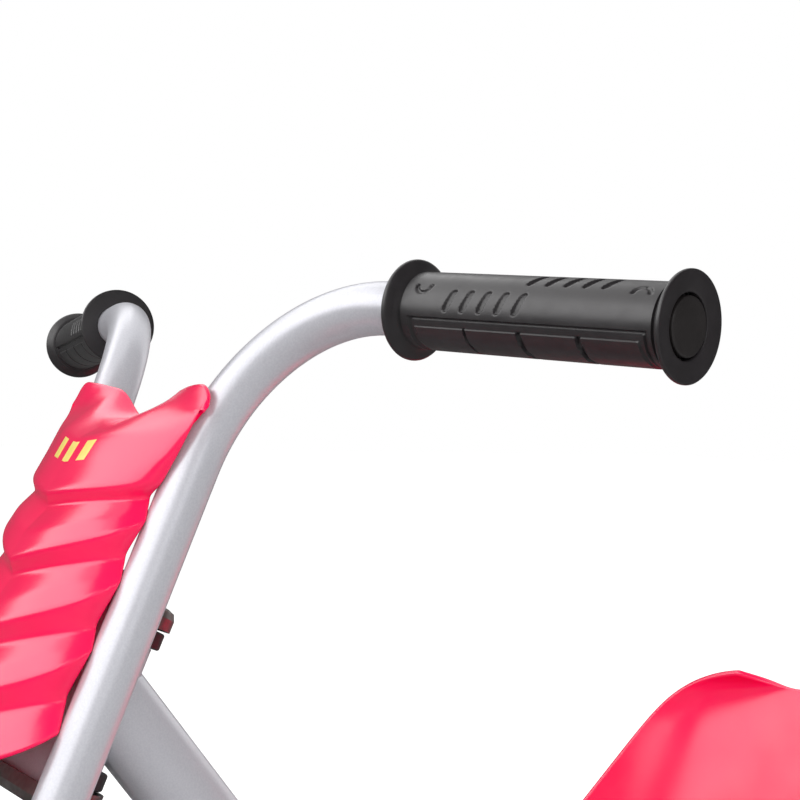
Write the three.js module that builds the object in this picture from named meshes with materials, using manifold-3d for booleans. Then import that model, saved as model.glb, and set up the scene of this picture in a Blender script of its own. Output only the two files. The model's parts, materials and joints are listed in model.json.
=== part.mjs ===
// A child's drift trike with an upright twin-tube fork: the two fork legs run up past a pleated
// front cowl and bend outwards into the handlebar. The front wheel is pedalled directly, and the
// rear rides on two raked casters, so the tail swings out. Millimetres, +Z up, front towards -Y,
// the rider's left at +X, and the ground at Z = 0.
import * as THREE from "three";
import { mergeVertices } from "three/addons/utils/BufferGeometryUtils.js";
import Module from "manifold-3d";

const wasm = await Module();
wasm.setup();

const degrees = Math.PI / 180;

// General clearances
const seatGap = 0.3; // between pieces that touch
const runningGap = 0.4; // between a shaft and its bush
const overrun = 4; // how far a cutter passes through a face
const tyreSides = 36;
const wideSides = 24;
const gripSides = 18;
const casterSides = 16;
const roundSides = 16;
const smallSides = 12;
const boreSides = 16;
const nutSides = 6;
const tubeBendSteps = 7;
const spineBendSteps = 6;
const curveSteps = 8;
const softSteps = 2;

// Fork legs and handlebar: one bent tube on each side
const tubeDiameter = 22.2;
const tubeHalfGap = 57.4; // centre plane to a tube's axis, at the fork's datum
const tubeSplaySlope = 0.0224; // the tubes draw together going up
const rake = 22.6 * degrees;
const bendHeight = 137.3; // datum to the corner where leg and bar meet
const bendRadius = 80;
const barSweep = 13.2 * degrees;
const barDrop = 3.5 * degrees;
const gripReach = 92.3; // corner to the grip's inner face
const dropoutThickness = 5;
const dropoutWidth = 20;
const dropoutEyeRadius = 15;
const dropoutReach = 40; // axle to the top of the dropout inside its slot
const legEndLift = 22; // axle to the tube's cut end

// Grips and bar plugs
const gripLength = 129;
const gripBodyDiameter = 31;
const gripFlangeDiameter = 40.6;
const gripFlangeThickness = 2.8;
const gripOuterThickness = 4.6;
const gripDish = 1.6;
const gripGrooveDepth = 1.1;
const gripGrooveWidth = 1.6;
const gripBlockHeight = 11;
const gripBlockPitch = 27;
const gripBlocks = 4;
const gripBlockStart = 36.5;
const gripBlockSlant = 18 * degrees;
const gripBlockAngles = [205 * degrees, 25 * degrees];
const plugDiameter = 21.8;
const plugRecessDiameter = 23.4;
const plugDepth = 5.4;
const plugStemDiameter = 15;
const plugStemLength = 18;

// Steering head: pressed crowns, kingpin, bushes and the head tube
const steeringSetback = 22.5; // tube plane back to the steering axis
const crownTop = 0.2;
const crownSheet = 3;
const crownDepth = 10;
const crownEdgeRadius = 4.5;
const crownNoseRadius = 23;
const crownFront = 6;
const crownRear = 8;
const headTubeLength = 58;
const headTubeTop = -19.3;
const headTubeDiameter = 36;
const headTubeWall = 2.3;
const bushFlangeDiameter = 42.6;
const bushFlangeHeight = 8.3;
const bushBossDiameter = 28;
const bushSleeveLength = 16;
const kingpinDiameter = 12;
const kingpinHeadDiameter = 20;
const kingpinHeadHeight = 7;
const kingpinNutHeight = 9;
const threadShow = 2;
const kingpinTyreGap = 7.9; // under the kingpin's head, measured along the fork
const webThickness = 3;

// Front cowl: skirts stacked down the fork, each flaring to a ridge and tucking back to a crease
const cowlThickness = 2.5;
const cowlHalfWidth = 57.5;
const cowlHornHalfWidth = 61;
const cowlCreaseInset = 6;
const cowlEdgeForward = 12.2; // the side edges sit just in front of the tubes
const cowlNoseForward = 36;
const cowlCreaseDepth = 5;
const cowlColumns = 16;
const cowlTopNose = 79;
const cowlTopHorn = 90.5;
const cowlRidgeNose = 27.5;
const cowlPitch = 33;
const cowlRidgeRises = [17, 32, 37, 40, 40];
const cowlCreaseDrop = 5;
const cowlCreaseRises = [16, 22.5, 24, 26];
const cowlSweepPower = 1.1;
const cowlTopRowShares = [0.3, 0.57, 0.8, 0.93, 1];
const cowlTopBulgeShares = [0.8, 0.73, 0.5, 0.24, 0.15];
const cowlTopDipShares = [0.04, 0.18, 1, 1.9, 3.2];
const cowlValleyShare = 0.95;
const cowlValleyWidthShare = 0.97;
const cowlBossDiameter = 11;
const cowlBossSpacing = 60;
const cowlBossDrop = 46;
const screwDiameter = 4;
const screwHeadDiameter = 8.5;
const screwHeadHeight = 2.6;
const screwBite = 14;

// Front wheel, crank and pedals
const frontTyreRadius = 150;
const frontTyreWidth = 44;
const frontTyreDepth = 24;
const tyreCrownShare = 0.35;
const tyreShoulderShare = 0.22;
const tyreBeadShare = 0.72;
const tyreWallShares = [0.92, 1, 0.7];
const tyreStepShares = [1, 1.6, 0.25];
const rimWidth = 36;
const rimDepth = 11;
const rimWall = 4;
const spokeCount = 5;
const spokeWidth = 17;
const spokeThickness = 9;
const spokeRootShare = 0.9;
const spokeNarrowShare = 0.55;
const spokeRimShare = 1.12;
const spokeWaistShare = 0.35;
const spokeWindowShare = 0.3;
const spokeWindowWidthShare = 0.65;
const hubDiameter = 44;
const hubWidth = 62;
const hubFlangeDiameter = 66;
const hubFlangeWidth = 14;
const crankAxleDiameter = 14;
const axleBushWall = 2;
const axleBushFlangeDiameter = 24;
const axleBushFlange = 2;
const crankLength = 88;
const crankThickness = 8;
const crankWidth = 19;
const crankWaistShare = 0.8;
const crankEndShare = 0.86;
const crankEyeDiameter = 28;
const crankAngle = 35 * degrees;
const crankNutDiameter = 17;
const crankNutHeight = 7;
const hubSleeveDiameter = 24;
const pedalLength = 74;
const pedalWidth = 58;
const pedalHeight = 22;
const pedalRailThickness = 7;
const pedalBarrelDiameter = 19;
const pedalTread = 5;
const spindleDiameter = 10;
const spindleHeadDiameter = 15;
const spindleHeadHeight = 3;

// Frame: spine, rear beam and caster sockets
const wheelbase = 578; // front axle to the caster axles when they trail
const spineDiameter = 38;
const spineBendRadius = 110;
const spineCorner = 300; // front axle back to the spine's bend
const spineStart = 42; // how far below the datum the spine's axis meets the steering axis
const beamDiameter = 32;
const casterTrack = 380;
const socketDiameter = 32;
const socketLength = 42;
const socketWall = 4;

// Casters
const casterRake = 30 * degrees;
const casterTrail = 28;
const casterRadius = 47;
const casterWidth = 26;
const casterTyreDepth = 13;
const casterHubWidth = 22;
const casterForkSheet = 4;
const casterForkGap = 32;
const casterForkClearance = 6;
const casterArmWidth = 26;
const casterCrownDiameter = 46;
const casterFrontShare = 0.8;
const casterBackShare = 0.9;
const casterRoundShare = 0.7;
const casterBossShare = 0.42;
const casterDishShare = 0.45;
const casterLandShare = 0.84;
const casterBearingHeight = 6;
const casterBearingDiameter = 40;
const casterStemDiameter = 12;
const casterNutDiameter = 20;
const casterNutHeight = 8;
const casterAxleDiameter = 8;
const casterAxleHeadDiameter = 14;
const casterAxleHeadHeight = 3;

// Seat and its sliding mount
const railLength = 130;
const railWidth = 26;
const railRise = 42; // spine axis to the rail's top
const railRoot = 8;
const railRear = 484; // front axle back to the rail's rear end
const railSlotLength = 76;
const railSlotHeight = 8.6;
const railSlotDrop = 16;
const mountPlateLength = 84;
const mountPlateWidth = 124;
const mountSheet = 3;
const mountWallDrop = 22;
const railEndShow = 6; // rail left bare behind the mount plate
const studDiameter = 8;
const knobDiameter = 29;
const knobThickness = 13;
const knobLobes = 5;
const knobLobeSteps = 6;
const knobLobeShare = 0.12;
const studNutDiameter = 15;
const studNutHeight = 6;
const seatThickness = 4;
const seatPanLength = 158;
const seatBackHeight = 148;
const seatBendRadius = 62;
const seatBackAngle = 72 * degrees;
const seatPanHalfWidth = 122;
const seatFrontHalfWidth = 104;
const seatTopHalfWidth = 84;
const seatBolster = 42;
const seatFrontLip = 6;
const seatCornerShare = 0.86;
const seatFrontWrapShare = 0.3;
const seatTopWrapShare = 0.35;
const seatTopRoundShare = 0.75;
const seatBolsterPower = 3.2;
const seatColumns = 10;
const seatPanSteps = 4;
const seatBendSteps = 5;
const seatBackSteps = 5;
const seatLipShare = 0.25;
const seatTopPower = 8;
const seatBendPastMount = 8; // from the mount plate's rear end back to the seat's bend
const seatBoltSpacing = 84;
const seatBoltForward = 50;
const seatBoltDiameter = 6;
const seatBoltHeadDiameter = 15;
const seatBoltHeadHeight = 3;
const seatBoltNutDiameter = 12;
const seatBoltNutHeight = 5;

// Sizes worked out from the ones above
const tubeRadius = tubeDiameter / 2;
const legDirection = new THREE.Vector3(-tubeSplaySlope, 0, 1).normalize();
const xAxis = new THREE.Vector3(1, 0, 0);
const yAxis = new THREE.Vector3(0, 1, 0);
const zAxis = new THREE.Vector3(0, 0, 1);
const mountRear = railRear - railEndShow;
const seatBendBack = mountRear + seatBendPastMount;
const crownUnderside = crownTop - crownSheet;
const headTubeBottom = headTubeTop - headTubeLength;
const lowerCrownTopFace = headTubeBottom + (headTubeTop - crownUnderside);
const lowerCrownFace = lowerCrownTopFace - crownSheet;
const kingpinBottom = lowerCrownFace - seatGap - kingpinHeadHeight;
const axleDrop = frontTyreRadius + kingpinTyreGap - kingpinBottom; // datum to the wheel axle
const datumBack = axleDrop * Math.sin(rake); // the fork's datum seen from the front axle
const datumHeight = frontTyreRadius + axleDrop * Math.cos(rake);
const tubeX = (z) => tubeHalfGap - tubeSplaySlope * z;
const casterPivotBack = wheelbase - casterTrail * Math.cos(casterRake);
const casterPivotHeight = casterRadius - casterTrail * Math.sin(casterRake);
const casterForkUnder = casterRadius + casterForkClearance;
const casterForkTop = casterForkUnder + casterForkSheet;
const socketBottom = casterForkTop + casterBearingHeight + seatGap * 2;
const socketMiddle = socketBottom + socketLength / 2;
const beamBack = casterPivotBack - socketMiddle * Math.sin(casterRake);
const beamHeight = casterPivotHeight + socketMiddle * Math.cos(casterRake);

// Materials
const paint = (name, color, roughness, metalness) =>
  new THREE.MeshStandardMaterial({ name, color, roughness, metalness });
const silverPaint = paint("silver_paint", 0xc9c8cf, 0.3, 0.7);
const pinkPlastic = paint("pink_plastic", 0xf3004b, 0.2, 0);
const gripRubber = paint("grip_rubber", 0x4b4748, 0.7, 0);
const tyreRubber = paint("tyre_rubber", 0x232323, 0.8, 0);
const blackPlastic = paint("black_plastic", 0x2a2626, 0.5, 0);
const zincSteel = paint("zinc_steel", 0x8b8583, 0.4, 0.9);
const chromeSteel = paint("chrome_steel", 0xd4d6da, 0.15, 1);

// A path of straight runs whose corners are rounded. It puts its steps in the bends.
class RoundedPath extends THREE.Curve {
  constructor(corners, radius, bendSteps) {
    super();
    this.stations = [];
    const last = corners.length - 1;
    for (let i = 0; i <= last; i++) {
      if (i === 0 || i === last) {
        const along = corners[Math.min(i + 1, last)].clone().sub(corners[Math.max(i - 1, 0)]);
        this.stations.push({ point: corners[i], tangent: along.normalize() });
      } else this.addBend(corners[i - 1], corners[i], corners[i + 1], radius, bendSteps);
    }
    this.steps = this.stations.length - 1;
  }
  addBend(before, corner, after, radius, bendSteps) {
    const arriving = corner.clone().sub(before).normalize();
    const leaving = after.clone().sub(corner).normalize();
    const turn = arriving.angleTo(leaving);
    const axis = arriving.clone().cross(leaving).normalize();
    const start = corner.clone().addScaledVector(arriving, -radius * Math.tan(turn / 2));
    const centre = start.clone().addScaledVector(axis.clone().cross(arriving), radius);
    for (let k = 0; k <= bendSteps; k++) {
      const angle = (turn * k) / bendSteps;
      const spoke = start.clone().sub(centre).applyAxisAngle(axis, angle);
      this.stations.push({
        point: centre.clone().add(spoke),
        tangent: arriving.clone().applyAxisAngle(axis, angle),
      });
    }
  }
  at(share, key) {
    const place = share * this.steps;
    const first = Math.min(Math.floor(place), this.steps - 1);
    return this.stations[first][key].clone().lerp(this.stations[first + 1][key], place - first);
  }
  getPoint(share, target = new THREE.Vector3()) {
    return target.copy(this.at(share, "point"));
  }
  getPointAt(share, target) {
    return this.getPoint(share, target);
  }
  getTangent(share, target = new THREE.Vector3()) {
    return target.copy(this.at(share, "tangent")).normalize();
  }
  getTangentAt(share, target) {
    return this.getTangent(share, target);
  }
}

// Solids: geometry in, geometry out, with the cuts and joins between closed meshes
function toSolid(geometry) {
  const bare = geometry.clone();
  bare.deleteAttribute("normal");
  bare.deleteAttribute("uv");
  const merged = mergeVertices(bare, 1e-3);
  return new wasm.Manifold(
    new wasm.Mesh({
      numProp: 3,
      vertProperties: merged.attributes.position.array,
      triVerts: new Uint32Array(merged.index.array),
    }),
  );
}

function toGeometry(solid) {
  const mesh = solid.getMesh();
  const geometry = new THREE.BufferGeometry();
  geometry.setAttribute("position", new THREE.BufferAttribute(mesh.vertProperties, 3));
  geometry.setIndex(new THREE.BufferAttribute(mesh.triVerts, 1));
  const faceted = geometry.toNonIndexed();
  faceted.computeVertexNormals();
  return faceted;
}

function cut(base, ...cutters) {
  return toGeometry(cutters.reduce((left, cutter) => left.subtract(toSolid(cutter)), toSolid(base)));
}

function join(first, ...others) {
  return toGeometry(others.reduce((left, other) => left.add(toSolid(other)), toSolid(first)));
}

function overlapOf(first, second) {
  return toGeometry(toSolid(first).intersect(toSolid(second)));
}

// Simple shapes
function polygonShape(points) {
  return new THREE.Shape(points.map(([x, y]) => new THREE.Vector2(x, y)));
}

function circlePoints(radius, sides, turn = 0) {
  return Array.from({ length: sides }, (_, i) => {
    const angle = turn + (2 * Math.PI * i) / sides;
    return [radius * Math.cos(angle), radius * Math.sin(angle)];
  });
}

function prism(shape, bottom, top) {
  const geometry = new THREE.ExtrudeGeometry(shape, { depth: top - bottom, bevelEnabled: false });
  return geometry.translate(0, 0, bottom);
}

function rod(radius, bottom, top, sides = roundSides) {
  return prism(polygonShape(circlePoints(radius, sides)), bottom, top);
}

function hexagon(acrossCorners, bottom, top) {
  return prism(polygonShape(circlePoints(acrossCorners / 2, nutSides)), bottom, top);
}

function box(minX, maxX, minY, maxY, minZ, maxZ) {
  const geometry = new THREE.BoxGeometry(maxX - minX, maxY - minY, maxZ - minZ);
  return geometry.translate((minX + maxX) / 2, (minY + maxY) / 2, (minZ + maxZ) / 2);
}

// A profile of [radius, height] points turned about Z. It closes on itself or on the axis.
function turned(profile, sides = roundSides) {
  const points = profile.map(([radius, height]) => new THREE.Vector2(radius, height));
  const area = points.reduce((sum, p, i) => {
    const q = points[(i + 1) % points.length];
    return sum + p.x * q.y - q.x * p.y;
  }, 0);
  if (area < 0) points.reverse();
  if (points.some((p) => p.x > 0) && points[0].x > 0) points.push(points[0].clone());
  return new THREE.LatheGeometry(points, sides).rotateX(Math.PI / 2);
}

function sweep(corners, radius, shape, bendSteps) {
  const path = new RoundedPath(corners, radius, bendSteps);
  return new THREE.ExtrudeGeometry(shape, {
    steps: path.steps,
    extrudePath: path,
    bevelEnabled: false,
  });
}

// Turns a geometry made along Z so that it runs along a direction from a point
function alongDirection(geometry, direction, point = new THREE.Vector3()) {
  const turn = new THREE.Quaternion().setFromUnitVectors(zAxis, direction.clone().normalize());
  return geometry.clone().applyQuaternion(turn).translate(point.x, point.y, point.z);
}

function alongX(geometry) {
  return geometry.clone().rotateY(Math.PI / 2);
}

function mirrored(geometry) {
  const copy = geometry.clone().scale(-1, 1, 1);
  const bare = copy.index ? copy.toNonIndexed() : copy;
  const place = bare.getAttribute("position");
  for (let i = 0; i < place.count; i += 3) {
    const a = new THREE.Vector3().fromBufferAttribute(place, i + 1);
    const b = new THREE.Vector3().fromBufferAttribute(place, i + 2);
    place.setXYZ(i + 1, b.x, b.y, b.z);
    place.setXYZ(i + 2, a.x, a.y, a.z);
  }
  bare.computeVertexNormals();
  return bare;
}

// Two matching grids of points, front and back, closed round their rims into one solid
function closeGrids(front, back) {
  const height = front.length;
  const width = front[0].length;
  const shift = height * width;
  const faces = [];
  const quad = (a, b, c, d) => faces.push(a, b, c, a, c, d);
  for (let r = 0; r + 1 < height; r++) {
    for (let c = 0; c + 1 < width; c++) {
      const a = r * width + c;
      quad(a, a + width, a + width + 1, a + 1);
      quad(a + shift, a + 1 + shift, a + width + 1 + shift, a + width + shift);
    }
    const left = r * width;
    const right = left + width - 1;
    quad(left, left + shift, left + width + shift, left + width);
    quad(right, right + width, right + width + shift, right + shift);
  }
  for (let c = 0; c + 1 < width; c++) {
    const bottom = (height - 1) * width + c;
    quad(c, c + 1, c + 1 + shift, c + shift);
    quad(bottom, bottom + shift, bottom + 1 + shift, bottom + 1);
  }
  const geometry = new THREE.BufferGeometry().setFromPoints([...front.flat(), ...back.flat()]);
  geometry.setIndex(faces);
  geometry.computeVertexNormals();
  return geometry;
}

// A sheet of points moved by a distance along its own normals, to the side away from the viewer
function offsetGrid(rows, distance) {
  const height = rows.length;
  const width = rows[0].length;
  return rows.map((row, r) =>
    row.map((point, c) => {
      const along = row[Math.min(c + 1, width - 1)].clone().sub(row[Math.max(c - 1, 0)]);
      const down = rows[Math.min(r + 1, height - 1)][c].clone().sub(rows[Math.max(r - 1, 0)][c]);
      return point.clone().addScaledVector(along.cross(down).normalize(), distance);
    }),
  );
}

function piece(name, geometry, material, parent) {
  const mesh = new THREE.Mesh(geometry, material);
  mesh.name = name;
  parent.add(mesh);
  return mesh;
}

function group(parent, position, turnX = 0) {
  const made = new THREE.Group();
  made.position.copy(position);
  made.rotation.x = turnX;
  parent.add(made);
  return made;
}

// Fork legs and bar. The fork's own frame has Z up the tubes and Y square to them, rearwards.
const legAt = (z) => new THREE.Vector3(tubeX(z), 0, z);
const barDirection = new THREE.Vector3(
  Math.cos(barSweep) * Math.cos(barDrop),
  Math.sin(barSweep) * Math.cos(barDrop),
  -Math.sin(barDrop),
).applyAxisAngle(xAxis, rake);
const barCorner = legAt(0).addScaledVector(legDirection, bendHeight);
const gripStart = barCorner.clone().addScaledVector(barDirection, gripReach);
const tubeEnd = gripLength - plugDepth - seatGap;

function forkTube() {
  const bottom = legAt(legEndLift - axleDrop);
  const end = gripStart.clone().addScaledVector(barDirection, tubeEnd);
  const round = polygonShape(circlePoints(tubeRadius, roundSides));
  const tube = sweep([bottom, barCorner, end], bendRadius, round, tubeBendSteps);
  const bore = rod(plugStemDiameter / 2 + seatGap, -plugStemLength - seatGap, overrun, boreSides);
  const halfSlot = dropoutThickness / 2 + seatGap;
  const slotTop = dropoutReach - axleDrop + seatGap;
  const slot = box(-halfSlot, halfSlot, -tubeDiameter, tubeDiameter, bottom.z - overrun * 2, slotTop);
  slot.translate(tubeX(-axleDrop), 0, 0);
  return cut(tube, alongDirection(bore, barDirection, end), slot);
}

function dropout() {
  const eye = rod(dropoutEyeRadius, 0, dropoutThickness);
  const half = dropoutWidth / 2;
  const neck = box(-half, half, 0, dropoutReach, 0, dropoutThickness);
  const hole = rod(crankAxleDiameter / 2 + runningGap + axleBushWall + seatGap, -overrun,
    dropoutThickness + overrun, boreSides);
  const plate = cut(join(eye, neck), hole);
  // The plate is drawn flat and stood up across the tube
  plate.translate(0, 0, -dropoutThickness / 2).rotateX(Math.PI / 2).rotateZ(Math.PI / 2);
  return plate.translate(tubeX(-axleDrop), 0, -axleDrop);
}

function axleBush() {
  const inner = crankAxleDiameter / 2 + runningGap;
  const outer = inner + axleBushWall;
  const half = dropoutThickness / 2;
  const collar = half + seatGap;
  const profile = [
    [inner, -half],
    [outer, -half],
    [outer, collar],
    [axleBushFlangeDiameter / 2, collar],
    [axleBushFlangeDiameter / 2, collar + axleBushFlange],
    [inner, collar + axleBushFlange],
  ];
  return alongX(turned(profile, smallSides)).translate(tubeX(-axleDrop), 0, -axleDrop);
}

// Grips: a flanged sleeve with slanted blocks cut into the front and the back of its lower half
function grip() {
  const body = gripBodyDiameter / 2;
  const flange = gripFlangeDiameter / 2;
  const bore = tubeRadius + seatGap;
  const recess = plugRecessDiameter / 2;
  const recessFloor = gripLength - plugDepth - seatGap;
  const soft = gripFlangeThickness / 3;
  const outerStart = gripLength - gripOuterThickness;
  const profile = [
    [bore, 0],
    [flange - soft, 0],
    [flange, soft],
    [flange, gripFlangeThickness - soft],
    [flange - soft, gripFlangeThickness],
    [body, gripFlangeThickness + soft * 3],
    [body, outerStart - soft * 4],
    [body - gripGrooveDepth, outerStart - soft * 2],
    [flange, outerStart],
    [flange, gripLength - soft],
    [flange - soft, gripLength],
    [recess + gripDish, gripLength - gripDish],
    [recess, gripLength - gripDish],
    [recess, recessFloor],
    [bore, recessFloor],
  ];
  return cut(turned(profile, gripSides), ...gripSlots());
}

// The slots between the blocks: thin cutters laid across the grip's surface at an angle
function gripSlots() {
  const slots = [];
  const half = gripBlockHeight / 2;
  const deep = gripBodyDiameter / 2 - gripGrooveDepth;
  for (const around of gripBlockAngles) {
    for (let i = 0; i < gripBlocks; i++) {
      const slot = box(0, overrun, -half, half, -gripGrooveWidth / 2, gripGrooveWidth / 2);
      slot.rotateX(gripBlockSlant).translate(deep, 0, gripBlockStart + i * gripBlockPitch);
      slots.push(slot.rotateZ(around));
    }
  }
  return slots;
}

function barPlug() {
  const face = plugDiameter / 2;
  const stem = plugStemDiameter / 2;
  const rim = face - seatGap * 2;
  return turned([
    [0, -plugStemLength],
    [stem, -plugStemLength],
    [stem, seatGap],
    [face, seatGap],
    [face, plugDepth - seatGap * 2],
    [rim, plugDepth],
    [0, plugDepth],
  ]);
}

// Crowns: sheet pressed into a shallow tray, its edge turned down round the tubes and the kingpin
function crownOutline(inset) {
  const side = tubeHalfGap - inset;
  const nose = crownNoseRadius - inset;
  const shape = new THREE.Shape();
  const lean = Math.atan2(steeringSetback - crownRear, tubeHalfGap);
  const start = Math.PI / 2 - Math.acos(nose / Math.hypot(tubeHalfGap, steeringSetback)) - lean;
  shape.moveTo(-side, -crownFront + inset);
  shape.lineTo(side, -crownFront + inset);
  shape.lineTo(side, crownRear - inset);
  shape.absarc(0, steeringSetback, nose, start, Math.PI - start, false);
  shape.lineTo(-side, crownRear - inset);
  return shape;
}

function crownTray() {
  const soft = crownEdgeRadius;
  const pressed = new THREE.ExtrudeGeometry(crownOutline(soft), {
    depth: crownDepth,
    bevelThickness: soft,
    bevelSize: soft,
    bevelSegments: softSteps,
    curveSegments: curveSteps,
  }).translate(0, 0, -crownDepth - soft);
  const reach = tubeHalfGap * 2;
  const below = box(-reach, reach, -reach, reach, -crownDepth * 3, -crownDepth);
  const inside = new THREE.ExtrudeGeometry(crownOutline(crownSheet), {
    depth: crownDepth - crownSheet + overrun,
    bevelEnabled: false,
    curveSegments: curveSteps,
  }).translate(0, 0, -crownDepth - overrun);
  const pin = rod(kingpinDiameter / 2 + seatGap, -crownDepth, overrun, boreSides);
  return cut(pressed, below, inside, pin.translate(0, steeringSetback, 0));
}

function crown(topFace, flipped) {
  const tray = crownTray();
  if (flipped) tray.rotateY(Math.PI);
  tray.translate(0, 0, topFace);
  const legHole = rod(tubeRadius + seatGap, -crownDepth * 2, crownDepth * 2, boreSides);
  const left = alongDirection(legHole, legDirection, legAt(topFace));
  return cut(tray, left, mirrored(left));
}

function webPlate() {
  const top = crownUnderside - seatGap;
  const bottom = lowerCrownTopFace + seatGap;
  const edge = (z) => tubeX(z) - tubeRadius - seatGap;
  const plate = polygonShape([
    [-edge(bottom), bottom],
    [edge(bottom), bottom],
    [edge(top), top],
    [-edge(top), top],
  ]);
  const sheet = prism(plate, 0, webThickness).rotateX(Math.PI / 2);
  return cut(sheet, ...screwPlaces().map((at) => screwHole(at)));
}

// Screw places behind the cowl, and the hole that each one goes through
function screwPlaces() {
  return [-1, 1].map((side) => new THREE.Vector3((side * cowlBossSpacing) / 2, 0, -cowlBossDrop));
}

function screwHole(at) {
  const depth = screwBite + webThickness + seatGap * 2;
  const hole = rod(screwDiameter / 2 + seatGap, -depth, overrun, smallSides);
  return alongDirection(hole, yAxis, at);
}

function cowlScrew() {
  const shank = screwDiameter / 2;
  const head = screwHeadDiameter / 2;
  const tip = webThickness + screwBite;
  return turned([
    [0, -tip],
    [shank, -tip],
    [shank, seatGap],
    [head, seatGap],
    [head, seatGap + screwHeadHeight / 2],
    [head / 2, seatGap + screwHeadHeight],
    [0, seatGap + screwHeadHeight],
  ], smallSides);
}

// Cowl rows run from the top edge down. A row's height follows the chevron, and its section is
// half an ellipse between the two side edges.
function cowlRow(row) {
  return Array.from({ length: cowlColumns + 1 }, (_, i) => {
    const angle = Math.PI * (i / cowlColumns - 1 / 2);
    const across = Math.sin(angle);
    const chevron = (Math.abs(angle) / (Math.PI / 2)) ** cowlSweepPower;
    const reach = Math.abs(across);
    const valley = Math.sin((Math.min(1, reach / cowlValleyWidthShare) * Math.PI) / 2) ** 2;
    const horn = cowlValleyShare * valley + (1 - cowlValleyShare) * reach;
    const sweepShare = chevron + (horn - chevron) * row.hornShare;
    const dip = row.dipShare * (1 - valley);
    const forward = cowlEdgeForward + row.bulge * Math.cos(angle) * (1 - dip);
    return new THREE.Vector3(
      across * row.halfWidth,
      -forward,
      row.nose + (row.edge - row.nose) * sweepShare,
    );
  });
}

function cowlRows() {
  const bulge = cowlNoseForward - cowlEdgeForward;
  const ridge = (k) => {
    const nose = cowlRidgeNose - k * cowlPitch;
    const edge = nose + cowlRidgeRises[k];
    return { nose, edge, bulge, halfWidth: cowlHalfWidth, dipShare: 0, hornShare: 0 };
  };
  const crease = (k) => {
    const nose = cowlRidgeNose - k * cowlPitch - cowlCreaseDrop;
    const edge = nose + cowlCreaseRises[k];
    const halfWidth = cowlHalfWidth - cowlCreaseInset;
    return { nose, edge, bulge: bulge - cowlCreaseDepth, halfWidth, dipShare: 0, hornShare: 0 };
  };
  const first = ridge(0);
  const rows = cowlTopRowShares.map((share, i) => ({
    nose: first.nose + (cowlTopNose - first.nose) * share,
    edge: first.edge + (cowlTopHorn - first.edge) * share,
    bulge: bulge * cowlTopBulgeShares[i],
    halfWidth: cowlHalfWidth + (cowlHornHalfWidth - cowlHalfWidth) * share,
    dipShare: cowlTopDipShares[i],
    hornShare: share,
  }));
  rows.reverse();
  rows.push(first);
  for (let k = 1; k < cowlRidgeRises.length; k++) {
    const above = crease(k - 1);
    const below = ridge(k);
    const midway = { ...below };
    for (const key of ["nose", "edge", "bulge", "halfWidth"]) midway[key] = (above[key] + below[key]) / 2;
    midway.bulge += cowlCreaseDepth / 4;
    rows.push(above, midway, below);
  }
  return rows.map(cowlRow);
}

function cowl() {
  const rows = cowlRows();
  const shell = closeGrids(rows, offsetGrid(rows, cowlThickness));
  const middle = offsetGrid(rows, cowlThickness / 2);
  const behind = middle.map((row) => row.map((point) => new THREE.Vector3(point.x, 0, point.z)));
  const hollow = closeGrids(middle, behind);
  const bosses = screwPlaces().map((at) => {
    const post = rod(cowlBossDiameter / 2, webThickness + seatGap, cowlNoseForward);
    return overlapOf(alongDirection(post, yAxis.clone().negate(), at), hollow);
  });
  return cut(join(shell, ...bosses), ...screwPlaces().map((at) => screwHole(at)));
}

// Front wheel: a moulded five-spoke wheel with a solid tyre. Its own frame has X along the axle.
function tyre(radius, width, depth, steps) {
  const half = width / 2;
  const inner = radius - depth;
  const shoulder = depth * tyreShoulderShare;
  const [wall, widest, cheek] = tyreWallShares.map((share) => half * share);
  const [low, high, rounding] = tyreStepShares.map((share) => shoulder * share);
  const side = [
    [inner, half * tyreBeadShare],
    [inner + low, wall],
    [radius - high, widest],
    [radius - rounding, cheek],
    [radius, half * tyreCrownShare],
  ];
  const other = side.map(([height, across]) => [height, -across]).reverse();
  return turned([...side, ...other], steps);
}

function frontRim() {
  const outer = frontTyreRadius - frontTyreDepth - seatGap;
  const half = rimWidth / 2;
  const floor = outer - rimDepth;
  const ring = turned([
    [floor, -half + rimWall],
    [floor + rimWall, -half],
    [outer, -half],
    [outer, half],
    [floor + rimWall, half],
    [floor, half - rimWall],
  ], tyreSides);
  const bore = crankAxleDiameter / 2 + seatGap;
  const hub = turned([
    [0, -hubWidth / 2],
    [hubDiameter / 2, -hubWidth / 2],
    [hubDiameter / 2, -hubFlangeWidth],
    [hubFlangeDiameter / 2, -hubFlangeWidth / 2],
    [hubFlangeDiameter / 2, hubFlangeWidth / 2],
    [hubDiameter / 2, hubFlangeWidth],
    [hubDiameter / 2, hubWidth / 2],
    [0, hubWidth / 2],
  ]);
  const spokes = Array.from({ length: spokeCount }, (_, i) =>
    frontSpoke(floor + rimWall / 2).rotateZ((2 * Math.PI * i) / spokeCount),
  );
  const wheel = join(ring, hub, ...spokes);
  return alongX(cut(wheel, rod(bore, -hubWidth, hubWidth, boreSides)));
}

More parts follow.
